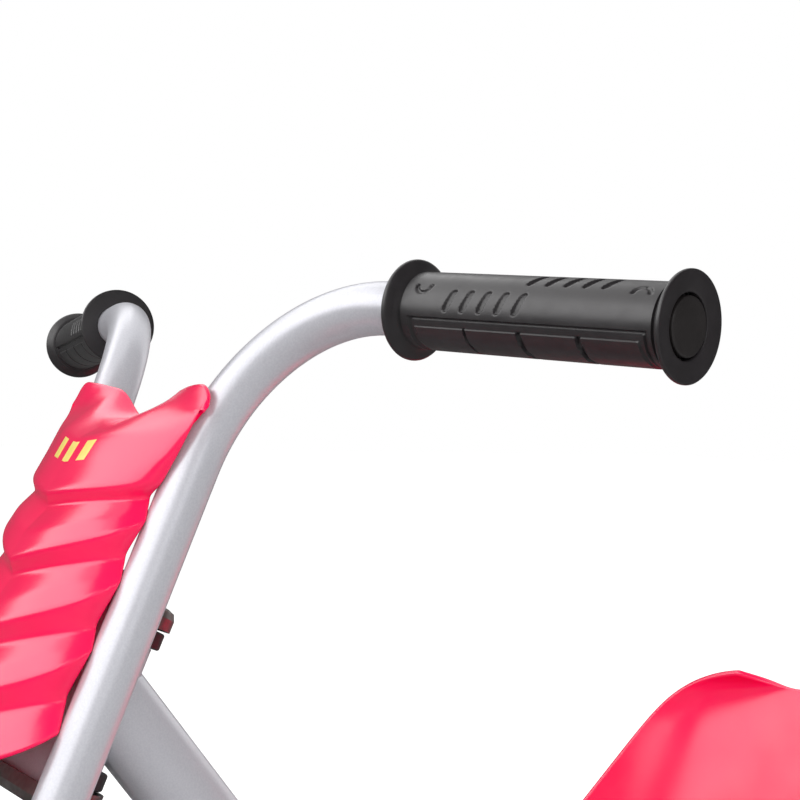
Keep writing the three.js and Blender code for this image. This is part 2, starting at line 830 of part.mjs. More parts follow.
// One spoke, drawn tapering outwards and splitting round an open window near the rim
function frontSpoke(reach) {
  const root = hubFlangeDiameter / 2 - rimWall;
  const wide = spokeWidth * spokeRootShare;
  const narrow = spokeWidth * spokeNarrowShare;
  const far = spokeWidth * spokeRimShare;
  const waist = root + (reach - root) * spokeWaistShare;
  const outline = polygonShape([
    [root, -wide],
    [waist, -narrow],
    [reach, -far],
    [reach, far],
    [waist, narrow],
    [root, wide],
  ]);
  const windowStart = waist + (reach - waist) * spokeWindowShare;
  const windowEnd = reach - rimWall - rimWall / 2;
  const windowHalf = spokeWidth * spokeWindowWidthShare;
  outline.holes.push(new THREE.Path([
    new THREE.Vector2(windowStart, 0),
    new THREE.Vector2(windowEnd, -windowHalf),
    new THREE.Vector2(windowEnd, windowHalf),
  ]));
  return prism(outline, -spokeThickness / 2, spokeThickness / 2);
}

const legOuter = tubeX(-axleDrop) + dropoutThickness / 2 + seatGap + axleBushFlange;
const crankInner = legOuter + tubeRadius - axleBushFlange + seatGap * 4;
const crankOuter = crankInner + crankThickness;

function crankAxle() {
  const half = crankOuter - seatGap;
  return alongX(rod(crankAxleDiameter / 2, -half, half));
}

function hubSleeve() {
  const start = hubWidth / 2 + seatGap;
  const end = tubeX(-axleDrop) - dropoutThickness / 2 - seatGap;
  const inner = crankAxleDiameter / 2 + seatGap;
  return alongX(turned([
    [inner, start],
    [hubSleeveDiameter / 2, start],
    [hubSleeveDiameter / 2, end],
    [inner, end],
  ], smallSides));
}

// A forged arm: two round eyes with a waisted bar between them. It runs along Y from the axle.
function crankArm() {
  const eye = crankEyeDiameter / 2;
  const half = crankWidth / 2;
  const waist = half * crankWaistShare;
  const bar = polygonShape([
    [-half, 0],
    [half, 0],
    [waist, crankLength / 2],
    [half, crankLength],
    [-half, crankLength],
    [-waist, crankLength / 2],
  ]);
  const solid = join(
    rod(eye, 0, crankThickness),
    rod(eye * crankEndShare, 0, crankThickness).translate(0, crankLength, 0),
    prism(bar, 0, crankThickness),
  );
  const axleHole = rod(crankAxleDiameter / 2 + seatGap, -overrun, crankThickness + overrun, boreSides);
  const spindleHole = rod(spindleDiameter / 2 + seatGap, -overrun, crankThickness + overrun, boreSides);
  const arm = cut(solid, axleHole, spindleHole.translate(0, crankLength, 0));
  return alongX(arm).translate(crankInner, 0, 0);
}

function crankCap() {
  const radius = crankNutDiameter / 2;
  const start = crankOuter + seatGap;
  const soft = crankNutHeight / 4;
  return alongX(turned([
    [0, start],
    [radius, start],
    [radius, start + crankNutHeight - soft],
    [radius - soft, start + crankNutHeight],
    [0, start + crankNutHeight],
  ], nutSides));
}

const spindleTip = crankOuter + pedalWidth + runningGap * 2 + spindleHeadHeight;

function pedalSpindle() {
  const end = spindleTip - spindleHeadHeight;
  return alongX(turned([
    [0, crankInner + seatGap],
    [spindleDiameter / 2, crankInner + seatGap],
    [spindleDiameter / 2, end],
    [spindleHeadDiameter / 2, end],
    [spindleHeadDiameter / 2, spindleTip],
    [0, spindleTip],
  ], smallSides));
}

// An open block pedal: a barrel on the spindle, two treads and two end plates
function pedal() {
  const start = crankOuter + runningGap;
  const end = start + pedalWidth;
  const halfLong = pedalLength / 2;
  const halfHigh = pedalHeight / 2;
  const plate = pedalRailThickness;
  const barrel = rod(pedalBarrelDiameter / 2, start, end);
  const outline = polygonShape([
    [-halfHigh, -halfLong + plate],
    [-halfHigh + plate / 2, -halfLong],
    [halfHigh - plate / 2, -halfLong],
    [halfHigh, -halfLong + plate],
    [halfHigh, halfLong - plate],
    [halfHigh - plate / 2, halfLong],
    [-halfHigh + plate / 2, halfLong],
    [-halfHigh, halfLong - plate],
  ]);
  const block = prism(outline, start, end);
  const windowNear = pedalBarrelDiameter / 2;
  const windowFar = halfLong - plate;
  const pocket = (sign) => {
    const near = Math.min(sign * windowNear, sign * windowFar);
    const far = Math.max(sign * windowNear, sign * windowFar);
    return box(-pedalHeight, pedalHeight, near, far, start + plate, end - plate);
  };
  const groove = (height, across) =>
    box(height, height + pedalTread, across - pedalTread / 2, across + pedalTread / 2, start - overrun,
      end + overrun);
  const deep = halfHigh - pedalTread / 4;
  const grooves = [-1, 1].flatMap((side) => [
    groove(deep, side * (windowFar + plate / 3)),
    groove(-deep - pedalTread, side * (windowFar + plate / 3)),
  ]);
  const bore = rod(spindleDiameter / 2 + runningGap, start - overrun, end + overrun, boreSides);
  return alongX(cut(join(cut(block, pocket(-1), pocket(1)), barrel), bore, ...grooves));
}

// Steering head
function headTube() {
  const outer = headTubeDiameter / 2;
  return turned([
    [outer - headTubeWall, headTubeBottom],
    [outer, headTubeBottom],
    [outer, headTubeTop],
    [outer - headTubeWall, headTubeTop],
  ], wideSides);
}

// A flanged bush drawn for the top of the head tube, measured up from the tube's end
function headBush() {
  const bore = kingpinDiameter / 2 + runningGap;
  const sleeve = headTubeDiameter / 2 - headTubeWall - seatGap;
  const flange = bushFlangeDiameter / 2;
  const bossTop = crownUnderside - headTubeTop - seatGap;
  const soft = bushFlangeHeight / 6;
  return turned([
    [bore, -bushSleeveLength],
    [sleeve, -bushSleeveLength],
    [sleeve, seatGap],
    [flange, seatGap],
    [flange, bushFlangeHeight - soft],
    [flange - soft, bushFlangeHeight],
    [bushBossDiameter / 2, bushFlangeHeight],
    [bushBossDiameter / 2, bossTop],
    [bore, bossTop],
  ]);
}

function kingpin() {
  const radius = kingpinDiameter / 2;
  const start = lowerCrownFace - seatGap;
  const top = crownTop + seatGap + kingpinNutHeight + threadShow;
  const head = hexagon(kingpinHeadDiameter, start - kingpinHeadHeight, start);
  return join(rod(radius, start - seatGap, top), head);
}

function kingpinNut() {
  const start = crownTop + seatGap;
  const nut = hexagon(kingpinHeadDiameter, start, start + kingpinNutHeight);
  return cut(nut, rod(kingpinDiameter / 2 + seatGap, 0, crownDepth * 2, boreSides));
}

// Frame: the spine drops from the head tube and bends level to run back to the rear beam
const headPoint = (z) =>
  new THREE.Vector3(0, steeringSetback, z).applyAxisAngle(xAxis, -rake).add(
    new THREE.Vector3(0, datumBack, datumHeight),
  );

function spine() {
  const start = headPoint(-spineStart);
  const corner = new THREE.Vector3(0, spineCorner, beamHeight);
  const end = new THREE.Vector3(0, beamBack, beamHeight);
  const round = polygonShape(circlePoints(spineDiameter / 2, roundSides));
  const tube = sweep([start, corner, end], spineBendRadius, round, spineBendSteps);
  const head = rod(headTubeDiameter / 2 + seatGap, -axleDrop, axleDrop, wideSides).rotateX(-rake);
  head.translate(start.x, start.y, start.z);
  const beam = alongX(rod(beamDiameter / 2 + seatGap, -casterTrack, casterTrack));
  return cut(tube, head, beam.translate(0, beamBack, beamHeight));
}

function rearBeam() {
  const half = casterTrack / 2;
  const beam = alongX(rod(beamDiameter / 2, -half, half)).translate(0, beamBack, beamHeight);
  const socket = rod(socketDiameter / 2 + seatGap, -socketLength * 2, socketLength * 2);
  const left = socket.rotateX(casterRake).translate(half, beamBack, beamHeight);
  const trimmed = cut(beam, left, mirrored(left));
  // Cutting the sockets through the beam leaves slivers past them, so the middle is kept
  const keep = half - socketDiameter / 4;
  return overlapOf(trimmed, box(-keep, keep, 0, wheelbase, 0, frontTyreRadius * 2));
}

// Casters. Their own frame has Z up the raked pivot and its origin where the axle's level meets it.
function casterSocket() {
  const outer = socketDiameter / 2;
  const top = socketBottom + socketLength;
  return turned([
    [outer - socketWall, socketBottom],
    [outer, socketBottom],
    [outer, top],
    [outer - socketWall, top],
  ]);
}

function casterBush() {
  const bore = casterStemDiameter / 2 + runningGap;
  const outer = socketDiameter / 2 - socketWall - seatGap;
  const top = socketBottom + socketLength;
  return turned([
    [bore, socketBottom],
    [outer, socketBottom],
    [outer, top + seatGap],
    [socketDiameter / 2, top + seatGap],
    [socketDiameter / 2, top + seatGap * 2 + socketWall / 2],
    [bore, top + seatGap * 2 + socketWall / 2],
  ]);
}

function casterBearing() {
  const bore = casterStemDiameter / 2 + runningGap;
  const outer = casterBearingDiameter / 2;
  const start = casterForkTop + seatGap;
  const end = start + casterBearingHeight;
  const middle = (start + end) / 2;
  const groove = casterBearingHeight / 8;
  return turned([
    [bore, start],
    [outer, start],
    [outer, middle - groove],
    [outer - groove * 2, middle],
    [outer, middle + groove],
    [outer, end],
    [bore, end],
  ]);
}

function casterStem() {
  const radius = casterStemDiameter / 2;
  const head = casterForkUnder - seatGap;
  const top = socketBottom + socketLength + socketWall / 2 + seatGap * 3;
  const nut = top + casterNutHeight;
  return join(
    rod(radius, head - seatGap, nut + threadShow),
    rod(casterNutDiameter / 2, head - socketWall / 2, head),
    hexagon(casterNutDiameter, top, nut),
  );
}

// A pressed fork: a round crown plate with two arms that lead down and back to the axle
function casterFork() {
  const inner = casterForkGap / 2;
  const outer = inner + casterForkSheet;
  const arm = casterArmWidth / 2;
  const crownRadius = casterCrownDiameter / 2;
  const front = crownRadius * casterFrontShare;
  const back = crownRadius * casterBackShare;
  const corner = arm * casterRoundShare;
  const plate = join(
    rod(crownRadius, casterForkUnder, casterForkTop),
    box(-outer, outer, -front, back, casterForkUnder, casterForkTop),
  );
  const side = polygonShape([
    [-front, casterForkTop],
    [back, casterForkTop],
    [casterTrail + arm, arm],
    [casterTrail + corner, -corner],
    [casterTrail, -arm],
    [casterTrail - corner, -corner],
    [casterTrail - arm, 0],
  ]);
  const flat = prism(side, inner, outer).rotateX(Math.PI / 2).rotateZ(Math.PI / 2);
  const axleHole = alongX(rod(casterAxleDiameter / 2 + seatGap, -outer * 2, outer * 2, boreSides));
  const stemHole = rod(casterStemDiameter / 2 + seatGap, 0, socketBottom, boreSides);
  return cut(join(plate, flat, mirrored(flat)), axleHole.translate(0, casterTrail, 0), stemHole);
}

function casterHub() {
  const half = casterHubWidth / 2;
  const outer = casterRadius - casterTyreDepth - seatGap;
  const boss = outer * casterBossShare;
  const dish = half * casterDishShare;
  const land = outer * casterLandShare;
  const bore = casterAxleDiameter / 2 + runningGap;
  const end = casterForkGap / 2 - seatGap;
  return alongX(turned([
    [bore, -end],
    [boss, -end],
    [boss, -dish],
    [land, -half],
    [outer, -half],
    [outer, half],
    [land, half],
    [boss, dish],
    [boss, end],
    [bore, end],
  ], casterSides));
}

function casterAxle() {
  const half = casterForkGap / 2 + casterForkSheet + seatGap;
  const head = casterAxleHeadDiameter / 2;
  const tip = half + casterAxleHeadHeight;
  const soft = casterAxleHeadHeight / 2;
  const radius = casterAxleDiameter / 2;
  return alongX(turned([
    [0, -tip],
    [head - soft, -tip],
    [head, -half - soft],
    [head, -half],
    [radius, -half],
    [radius, half],
    [head, half],
    [head, half + soft],
    [head - soft, tip],
    [0, tip],
  ], smallSides));
}

// Seat: a rail on the spine, a channel that slides along it under a hand knob, and a moulded bucket
const railTop = beamHeight + railRise;
const mountTop = railTop + seatGap + mountSheet;

function seatRail() {
  const half = railWidth / 2;
  const start = railRear - railLength;
  const block = box(-half, half, start, railRear, beamHeight + railRoot, railTop);
  const spineRound = rod(spineDiameter / 2 + seatGap, -wheelbase, 0, roundSides).rotateX(Math.PI / 2);
  spineRound.translate(0, 0, beamHeight);
  const middle = (start + railRear) / 2;
  const slotTop = railTop - railSlotDrop + railSlotHeight / 2;
  const slot = box(-railWidth, railWidth, middle - railSlotLength / 2, middle + railSlotLength / 2,
    slotTop - railSlotHeight, slotTop);
  return cut(block, spineRound, slot);
}

function seatMount() {
  const half = mountPlateWidth / 2;
  const inner = railWidth / 2 + runningGap;
  const start = mountRear - mountPlateLength;
  const under = railTop + seatGap;
  const middle = (start + mountRear) / 2;
  const plate = box(-half, half, start, mountRear, under, mountTop);
  const walls = [-1, 1].map((side) => {
    const near = Math.min(side * inner, side * (inner + mountSheet));
    return box(near, near + mountSheet, start, mountRear, under - mountWallDrop, under + mountSheet / 2);
  });
  const stud = alongX(rod(studDiameter / 2 + seatGap, -half, half, boreSides));
  const bolts = seatBoltPlaces().map((at) =>
    rod(seatBoltDiameter / 2 + seatGap, 0, mountTop * 2, boreSides).translate(at.x, at.y, 0),
  );
  return cut(join(plate, ...walls), stud.translate(0, middle, railTop - railSlotDrop), ...bolts);
}

// The hand knob with its stud, and the nut on the stud's far end
function clampKnob() {
  const wall = railWidth / 2 + runningGap + mountSheet + seatGap;
  const lobes = circlePoints(1, knobLobes * knobLobeSteps).map(([x, y], i) => {
    const radius = (knobDiameter / 2) * (1 - knobLobeShare / 2 + (knobLobeShare / 2) *
      Math.cos((i * 2 * Math.PI) / knobLobeSteps));
    return [x * radius, y * radius];
  });
  const collar = rod(studDiameter, wall, wall + knobThickness);
  const head = prism(polygonShape(lobes), wall + knobThickness / 3, wall + knobThickness);
  const stud = rod(studDiameter / 2, -wall - studNutHeight - threadShow, wall + knobThickness / 2);
  return alongX(join(collar, head, stud));
}

function studNut() {
  const start = railWidth / 2 + runningGap + mountSheet + seatGap;
  const nut = hexagon(studNutDiameter, -start - studNutHeight, -start);
  return alongX(cut(nut, rod(studDiameter / 2 + seatGap, -start * 2, 0, boreSides)));
}

// The bucket's centre line: a level pan, a round bend and a raked back. Each station gives the
// point, the way that faces the rider, and the half width.
function seatStations() {
  const floor = mountTop + seatGap + seatThickness;
  const stations = [];
  const pan = (share) => seatFrontHalfWidth + (seatPanHalfWidth - seatFrontHalfWidth) * share;
  for (let i = 0; i < seatPanSteps; i++) {
    const share = i / seatPanSteps;
    const lip = seatFrontLip * Math.max(0, 1 - share / seatLipShare) ** 2;
    stations.push({
      back: seatBendBack - seatPanLength * (1 - share),
      height: floor - lip,
      lean: 0,
      half: pan(Math.sin((share * Math.PI) / 2)) * (i === 0 ? seatCornerShare : 1),
      wrap: seatBolster * (seatFrontWrapShare + (1 - seatFrontWrapShare) * share),
    });
  }
  for (let i = 0; i <= seatBendSteps; i++) {
    const lean = (seatBackAngle * i) / seatBendSteps;
    stations.push({
      back: seatBendBack + seatBendRadius * Math.sin(lean),
      height: floor + seatBendRadius * (1 - Math.cos(lean)),
      lean,
      half: seatPanHalfWidth,
      wrap: seatBolster,
    });
  }
  const corner = stations[stations.length - 1];
  const length = seatBackHeight - corner.height + floor;
  for (let i = 1; i <= seatBackSteps; i++) {
    const share = Math.sin((Math.PI * i) / (2 * seatBackSteps));
    const round = Math.sqrt(1 - seatTopRoundShare * share ** seatTopPower);
    stations.push({
      back: corner.back + (length * share) / Math.tan(seatBackAngle),
      height: corner.height + length * share,
      lean: seatBackAngle,
      half: seatTopHalfWidth * round + (seatPanHalfWidth - seatTopHalfWidth) * (1 - share),
      wrap: seatBolster * (1 - (1 - seatTopWrapShare) * share),
    });
  }
  return stations;
}

function seatRows() {
  return seatStations().map((station) =>
    Array.from({ length: seatColumns + 1 }, (_, i) => {
      const across = Math.sin(Math.PI * (i / seatColumns - 1 / 2));
      const rise = station.wrap * Math.abs(across) ** seatBolsterPower;
      return new THREE.Vector3(
        across * station.half,
        station.back - rise * Math.sin(station.lean),
        station.height + rise * Math.cos(station.lean),
      );
    }),
  );
}

function seatShell() {
  const rows = seatRows();
  const shell = closeGrids(rows.reverse(), offsetGrid(rows, seatThickness));
  const holes = seatBoltPlaces().map((at) =>
    rod(seatBoltDiameter / 2 + seatGap, 0, mountTop * 2, boreSides).translate(at.x, at.y, 0),
  );
  return cut(shell, ...holes);
}

function seatBoltPlaces() {
  return [-1, 1].map(
    (side) => new THREE.Vector3((side * seatBoltSpacing) / 2, seatBendBack - seatBoltForward, 0),
  );
}

function seatBolt(at) {
  const across = (Math.abs(at.x) + seatBoltHeadDiameter / 2) / seatPanHalfWidth;
  const surface = mountTop + seatGap + seatThickness + seatBolster * across ** seatBolsterPower;
  const head = surface + seatGap * 2;
  const nut = railTop - seatGap;
  const solid = join(
    rod(seatBoltDiameter / 2, nut - seatBoltNutHeight - threadShow, head + seatGap),
    rod(seatBoltHeadDiameter / 2, head, head + seatBoltHeadHeight),
    hexagon(seatBoltNutDiameter, nut - seatBoltNutHeight, nut),
  );
  return solid.translate(at.x, at.y, 0);
}

// The whole trike, front axle above the origin until the last line centres it
const trike = new THREE.Group();
const sides = [["left", 1], ["right", -1]];
const sided = (geometry, side) => (side > 0 ? geometry : mirrored(geometry));
const datum = new THREE.Vector3(0, datumBack, datumHeight);
const axlePlace = new THREE.Vector3(0, 0, frontTyreRadius);

function buildSteering() {
  const fork = group(trike, datum, -rake);
  for (const [name, side] of sides) {
    piece(`fork_tube_${name}`, sided(forkTube(), side), silverPaint, fork);
    piece(`dropout_${name}`, sided(dropout(), side), silverPaint, fork);
    piece(`axle_bush_${name}`, sided(axleBush(), side), blackPlastic, fork);
    const onBar = (geometry, along) =>
      sided(alongDirection(geometry, barDirection,
        gripStart.clone().addScaledVector(barDirection, along)), side);
    piece(`grip_${name}`, onBar(grip(), 0), gripRubber, fork);
    piece(`bar_plug_${name}`, onBar(barPlug(), tubeEnd), blackPlastic, fork);
  }
  piece("upper_crown", crown(crownTop, false), zincSteel, fork);
  piece("lower_crown", crown(lowerCrownFace, true), zincSteel, fork);
  piece("fork_web_plate", webPlate(), silverPaint, fork);
  piece("front_cowl", cowl(), pinkPlastic, fork);
  screwPlaces().forEach((at, i) => {
    piece(`cowl_screw_${i + 1}`, alongDirection(cowlScrew(), yAxis, at), zincSteel, fork);
  });
  const pin = group(fork, new THREE.Vector3(0, steeringSetback, 0));
  piece("kingpin_bolt", kingpin(), zincSteel, pin);
  piece("kingpin_nut", kingpinNut(), zincSteel, pin);
}

function buildFrontWheel() {
  const wheel = group(trike, axlePlace);
  const rubber = tyre(frontTyreRadius, frontTyreWidth, frontTyreDepth, tyreSides);
  piece("front_tyre", alongX(rubber), tyreRubber, wheel);
  piece("front_rim", frontRim(), pinkPlastic, wheel);
  piece("crank_axle", crankAxle(), chromeSteel, wheel);
  for (const [name, side] of sides) {
    const turn = side > 0 ? Math.PI + crankAngle : crankAngle;
    const end = group(wheel, new THREE.Vector3(), turn);
    piece(`hub_sleeve_${name}`, sided(hubSleeve(), side), blackPlastic, wheel);
    piece(`crank_arm_${name}`, sided(crankArm(), side), chromeSteel, end);
    piece(`crank_cap_${name}`, sided(crankCap(), side), chromeSteel, end);
    const hung = group(end, new THREE.Vector3(0, crankLength, 0), -turn);
    piece(`pedal_spindle_${name}`, sided(pedalSpindle(), side), zincSteel, hung);
    piece(`pedal_${name}`, sided(pedal(), side), blackPlastic, hung);
  }
}

function buildFrame() {
  const head = group(trike, headPoint(0), -rake);
  piece("head_tube", headTube(), silverPaint, head);
  piece("upper_head_bush", headBush().translate(0, 0, headTubeTop), blackPlastic, head);
  const lower = headBush().rotateX(Math.PI).translate(0, 0, headTubeBottom);
  piece("lower_head_bush", lower, blackPlastic, head);
  piece("spine_tube", spine(), silverPaint, trike);
  piece("rear_beam", rearBeam(), silverPaint, trike);
  piece("seat_rail", seatRail(), silverPaint, trike);
}

function buildSeat() {
  const middle = mountRear - mountPlateLength / 2;
  const clamp = group(trike, new THREE.Vector3(0, middle, railTop - railSlotDrop));
  piece("seat_mount", seatMount(), zincSteel, trike);
  piece("seat_shell", seatShell(), pinkPlastic, trike);
  piece("seat_clamp_knob", clampKnob(), blackPlastic, clamp);
  piece("clamp_stud_nut", studNut(), zincSteel, clamp);
  seatBoltPlaces().forEach((at, i) => {
    piece(`seat_bolt_${i + 1}`, seatBolt(at), zincSteel, trike);
  });
}

function buildCasters() {
  for (const [name, side] of sides) {
    const place = new THREE.Vector3((side * casterTrack) / 2, casterPivotBack, casterPivotHeight);
    const pivot = group(trike, place, casterRake);
    piece(`caster_socket_${name}`, casterSocket(), silverPaint, pivot);
    piece(`caster_bush_${name}`, casterBush(), blackPlastic, pivot);
    piece(`caster_bearing_${name}`, casterBearing(), zincSteel, pivot);
    piece(`caster_stem_${name}`, casterStem(), zincSteel, pivot);
    piece(`caster_fork_${name}`, casterFork(), zincSteel, pivot);
    const wheel = group(pivot, new THREE.Vector3(0, casterTrail, 0), -casterRake);
    const rubber = tyre(casterRadius, casterWidth, casterTyreDepth, casterSides);
    piece(`caster_tyre_${name}`, alongX(rubber), tyreRubber, wheel);
    piece(`caster_hub_${name}`, casterHub(), pinkPlastic, wheel);
    piece(`caster_axle_${name}`, casterAxle(), zincSteel, wheel);
  }
}

buildSteering();
buildFrontWheel();
buildFrame();
buildSeat();
buildCasters();

// The origin goes under the middle of the trike's length
const rearReach = wheelbase + casterRadius;
trike.position.y = -(rearReach - frontTyreRadius) / 2;

export default trike;
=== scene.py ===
# %% [markdown]
# A child's drift trike in Blender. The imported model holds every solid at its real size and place.
# This lesson dresses it: smooth surfaces over the faceted solids, and one finish for each thing
# that the trike is made of. Lengths are written in millimetres and turned to metres in one place.

import json
import math

import bmesh
import bpy
import numpy as np
from mathutils import Matrix, Vector

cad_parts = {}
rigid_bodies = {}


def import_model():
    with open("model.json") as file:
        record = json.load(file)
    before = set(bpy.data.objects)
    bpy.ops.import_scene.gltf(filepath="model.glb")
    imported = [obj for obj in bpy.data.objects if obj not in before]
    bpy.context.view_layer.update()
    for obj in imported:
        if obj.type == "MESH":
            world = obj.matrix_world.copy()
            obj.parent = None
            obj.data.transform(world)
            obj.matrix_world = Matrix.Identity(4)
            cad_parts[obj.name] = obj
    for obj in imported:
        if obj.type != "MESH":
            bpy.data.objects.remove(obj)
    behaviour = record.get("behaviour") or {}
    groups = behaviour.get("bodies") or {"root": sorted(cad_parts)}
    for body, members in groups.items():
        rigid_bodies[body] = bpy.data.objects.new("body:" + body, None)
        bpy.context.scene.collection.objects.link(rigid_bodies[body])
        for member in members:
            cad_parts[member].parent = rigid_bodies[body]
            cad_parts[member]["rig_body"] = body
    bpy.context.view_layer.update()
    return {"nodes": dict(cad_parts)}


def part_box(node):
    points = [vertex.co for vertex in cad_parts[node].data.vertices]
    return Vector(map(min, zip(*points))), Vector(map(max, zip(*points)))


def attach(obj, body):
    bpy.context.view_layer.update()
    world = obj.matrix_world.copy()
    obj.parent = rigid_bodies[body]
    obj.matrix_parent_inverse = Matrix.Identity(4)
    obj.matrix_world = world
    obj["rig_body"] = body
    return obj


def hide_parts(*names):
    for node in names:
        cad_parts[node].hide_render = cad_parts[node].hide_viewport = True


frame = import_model()
MM = 0.001

# %% [markdown]
# The camera comes first, so that every later choice is judged in the photograph's own view. It
# could be placed by eye. Here it was worked out from the tube's known width and the way its edges
# draw together: a 70 mm lens, level with the bar, in front of the rider's left hand. It leans by
# almost two degrees, as a hand-held camera does.

# %% The camera of the photograph
CAMERA_PLACE = Vector((656.66, -418.19, 475.13))
AZIMUTH, TILT, LEAN = (math.radians(v) for v in (55.72, 0.15, 1.96))
looking = Vector(
    (-math.sin(AZIMUTH) * math.cos(TILT), math.cos(AZIMUTH) * math.cos(TILT), math.sin(TILT))
)
level = Vector((math.cos(AZIMUTH), math.sin(AZIMUTH), 0))
above = level.cross(looking)
right = level * math.cos(LEAN) + above * math.sin(LEAN)
upward = right.cross(looking)
camera = bpy.data.objects.new("camera", bpy.data.cameras.new("camera"))
camera.data.lens = 70
camera.data.sensor_width = 36
turned = Matrix((right, upward, -looking)).transposed().to_4x4()
camera.matrix_world = Matrix.Translation(CAMERA_PLACE * MM) @ turned
bpy.context.scene.collection.objects.link(camera)
bpy.context.scene.camera = camera
print("camera at", tuple(round(v, 3) for v in camera.location))

# %% [markdown]
# Every new piece is a grid of points worked out with numpy. It could also be modelled by hand, but
# a formula keeps each size in sight. A grid that closes on itself both ways is a ring, such as a
# tyre. One whose first and last rows shrink to a point is a closed skin, such as a capped tube.

# %% The faces of a grid
def grid_faces(rows, columns, ring):
    """Quads between neighbours. Columns always wrap round, and rows wrap too when ring is true."""
    r, c = np.meshgrid(np.arange(rows if ring else rows - 1), np.arange(columns), indexing="ij")
    down, across = (r + 1) % rows, (c + 1) % columns
    corners = (r * columns + c, down * columns + c, down * columns + across, r * columns + across)
    return np.stack(corners, -1).reshape(-1, 4)


def sheet_faces(rows, columns):
    """Quads of an open sheet, with no wrap either way."""
    r, c = np.meshgrid(np.arange(rows - 1), np.arange(columns - 1), indexing="ij")
    start = r * columns + c
    return np.stack((start, start + columns, start + columns + 1, start + 1), -1).reshape(-1, 4)


print("a ring of 4 rows of 6 points has", len(grid_faces(4, 6, True)), "faces")
print("an open sheet of the same points has", len(sheet_faces(4, 6)))

# %% [markdown]
# A grid becomes a piece in three steps. Doubled points are merged, so that seams and poles close.
# The faces are turned outwards, and the edges that turn sharply stay crisp. Then the piece gets its
# finish, rides on the body that it moves with, and hides the solids that it stands for.

# %% From a grid of points to a piece
def add_mesh(name, points, faces):
    """Makes an object from points in millimetres, which are a thousandth of a metre each."""
    mesh = bpy.data.meshes.new(name)
    mesh.from_pydata((points.reshape(-1, 3) * MM).tolist(), [], faces.tolist())
    made = bpy.data.objects.new(name, mesh)
    bpy.context.scene.collection.objects.link(made)
    return made


def tidy(made, crease):
    """Merges points closer than 0.002 mm, turns the faces outwards and keeps edges sharp where they
    turn by more than crease degrees."""
    work = bmesh.new()
    work.from_mesh(made.data)
    bmesh.ops.remove_doubles(work, verts=work.verts, dist=0.002 * MM)
    bmesh.ops.recalc_face_normals(work, faces=work.faces)
    work.to_mesh(made.data)
    work.free()
    made.data.shade_smooth()
    made.data.set_sharp_from_angle(angle=math.radians(crease))


def finish(made, material, body, *nodes):
    """Gives a piece its material and body, hides the solids that it stands for and prints the gap.
    Gap = the largest difference between the corners of the piece's box and of the solids' common
    box."""
    made.data.materials.clear()
    made.data.materials.append(material)
    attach(made, body)
    if nodes:
        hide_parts(*nodes)
        points = np.empty(3 * len(made.data.vertices), np.float32)
        made.data.vertices.foreach_get("co", points)
        points = points.reshape(-1, 3) / MM
        boxes = np.array([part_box(node) for node in nodes]) / MM
        low, high = boxes[:, 0].min(0), boxes[:, 1].max(0)
        gap = np.abs([points.min(0) - low, points.max(0) - high]).max()
        print(made.name, "is within", round(float(gap), 2), "mm of the solid's box")


def skin(name, points, material, body, *nodes, ring=False, crease=35):
    """A finished piece from a grid of points: quads between neighbours, merged, turned outwards."""
    made = add_mesh(name, points, grid_faces(*points.shape[:2], ring))
    tidy(made, crease)
    finish(made, material, body, *nodes)


def mirrored(points):
    """The other side's points: x changes sign."""
    return points * np.array([-1.0, 1.0, 1.0])


print("a point at x = 5 is mirrored to x =", mirrored(np.array([5, 0, 0]))[0])

# %% [markdown]
# Turned parts start as an outline of radius and height, as they would on a lathe. A real edge is
# never quite sharp, so each corner of the outline becomes a short curve before the outline is
# carried round the axis. A bevel could do this afterwards, but it would slip at tight corners.

# %% Outlines and turned parts
def rounded(outline, radius, closed=True, steps=4):
    """Replaces each corner by a curve (1-t)^2 a + 2t(1-t) corner + t^2 b, where a and b lie up to
    radius before and after the corner. An open outline keeps its two ends."""
    p = np.asarray(outline, float)
    back, on = np.roll(p, 1, 0) - p, np.roll(p, -1, 0) - p
    length_back = np.linalg.norm(back, axis=1, keepdims=True)
    length_on = np.linalg.norm(on, axis=1, keepdims=True)
    a = p + back / length_back * np.minimum(radius, 0.45 * length_back)
    b = p + on / length_on * np.minimum(radius, 0.45 * length_on)
    t = np.linspace(0, 1, steps + 1)[None, :, None]
    curve = (1 - t) ** 2 * a[:, None] + 2 * t * (1 - t) * p[:, None] + t**2 * b[:, None]
    if closed:
        return curve.reshape(-1, p.shape[1])
    return np.concatenate([p[:1], curve[1:-1].reshape(-1, p.shape[1]), p[-1:]])


def turn(outline, sides=64):
    """Each (radius, height) goes round the axis: (radius cos a, radius sin a, height)."""
    outline = np.asarray(outline, float)
    a = np.linspace(0, 2 * np.pi, sides, endpoint=False)
    radius, height = outline[:, :1], outline[:, 1:2]
    return np.stack((radius * np.cos(a), radius * np.sin(a), height + 0 * a), -1)


def along_x(points):
    """Lays a part made about Z over, so that its axis runs along X."""
    return points[..., [2, 0, 1]]


square = rounded([[0, 0], [10, 0], [10, 10], [0, 10]], 2)
print("a square with soft corners has", len(square), "points and is", np.ptp(square), "wide")

# %% [markdown]
# Most of the trike is bent tube. A tube is a circle carried along its middle line. Blender's curves
# can do that too, but worked out as points, its ends can later be cut to fit on another tube.

# %% Tubes along a path
def unit(v):
    """A vector of length 1: v divided by its length."""
    return v / np.linalg.norm(v, axis=-1, keepdims=True)


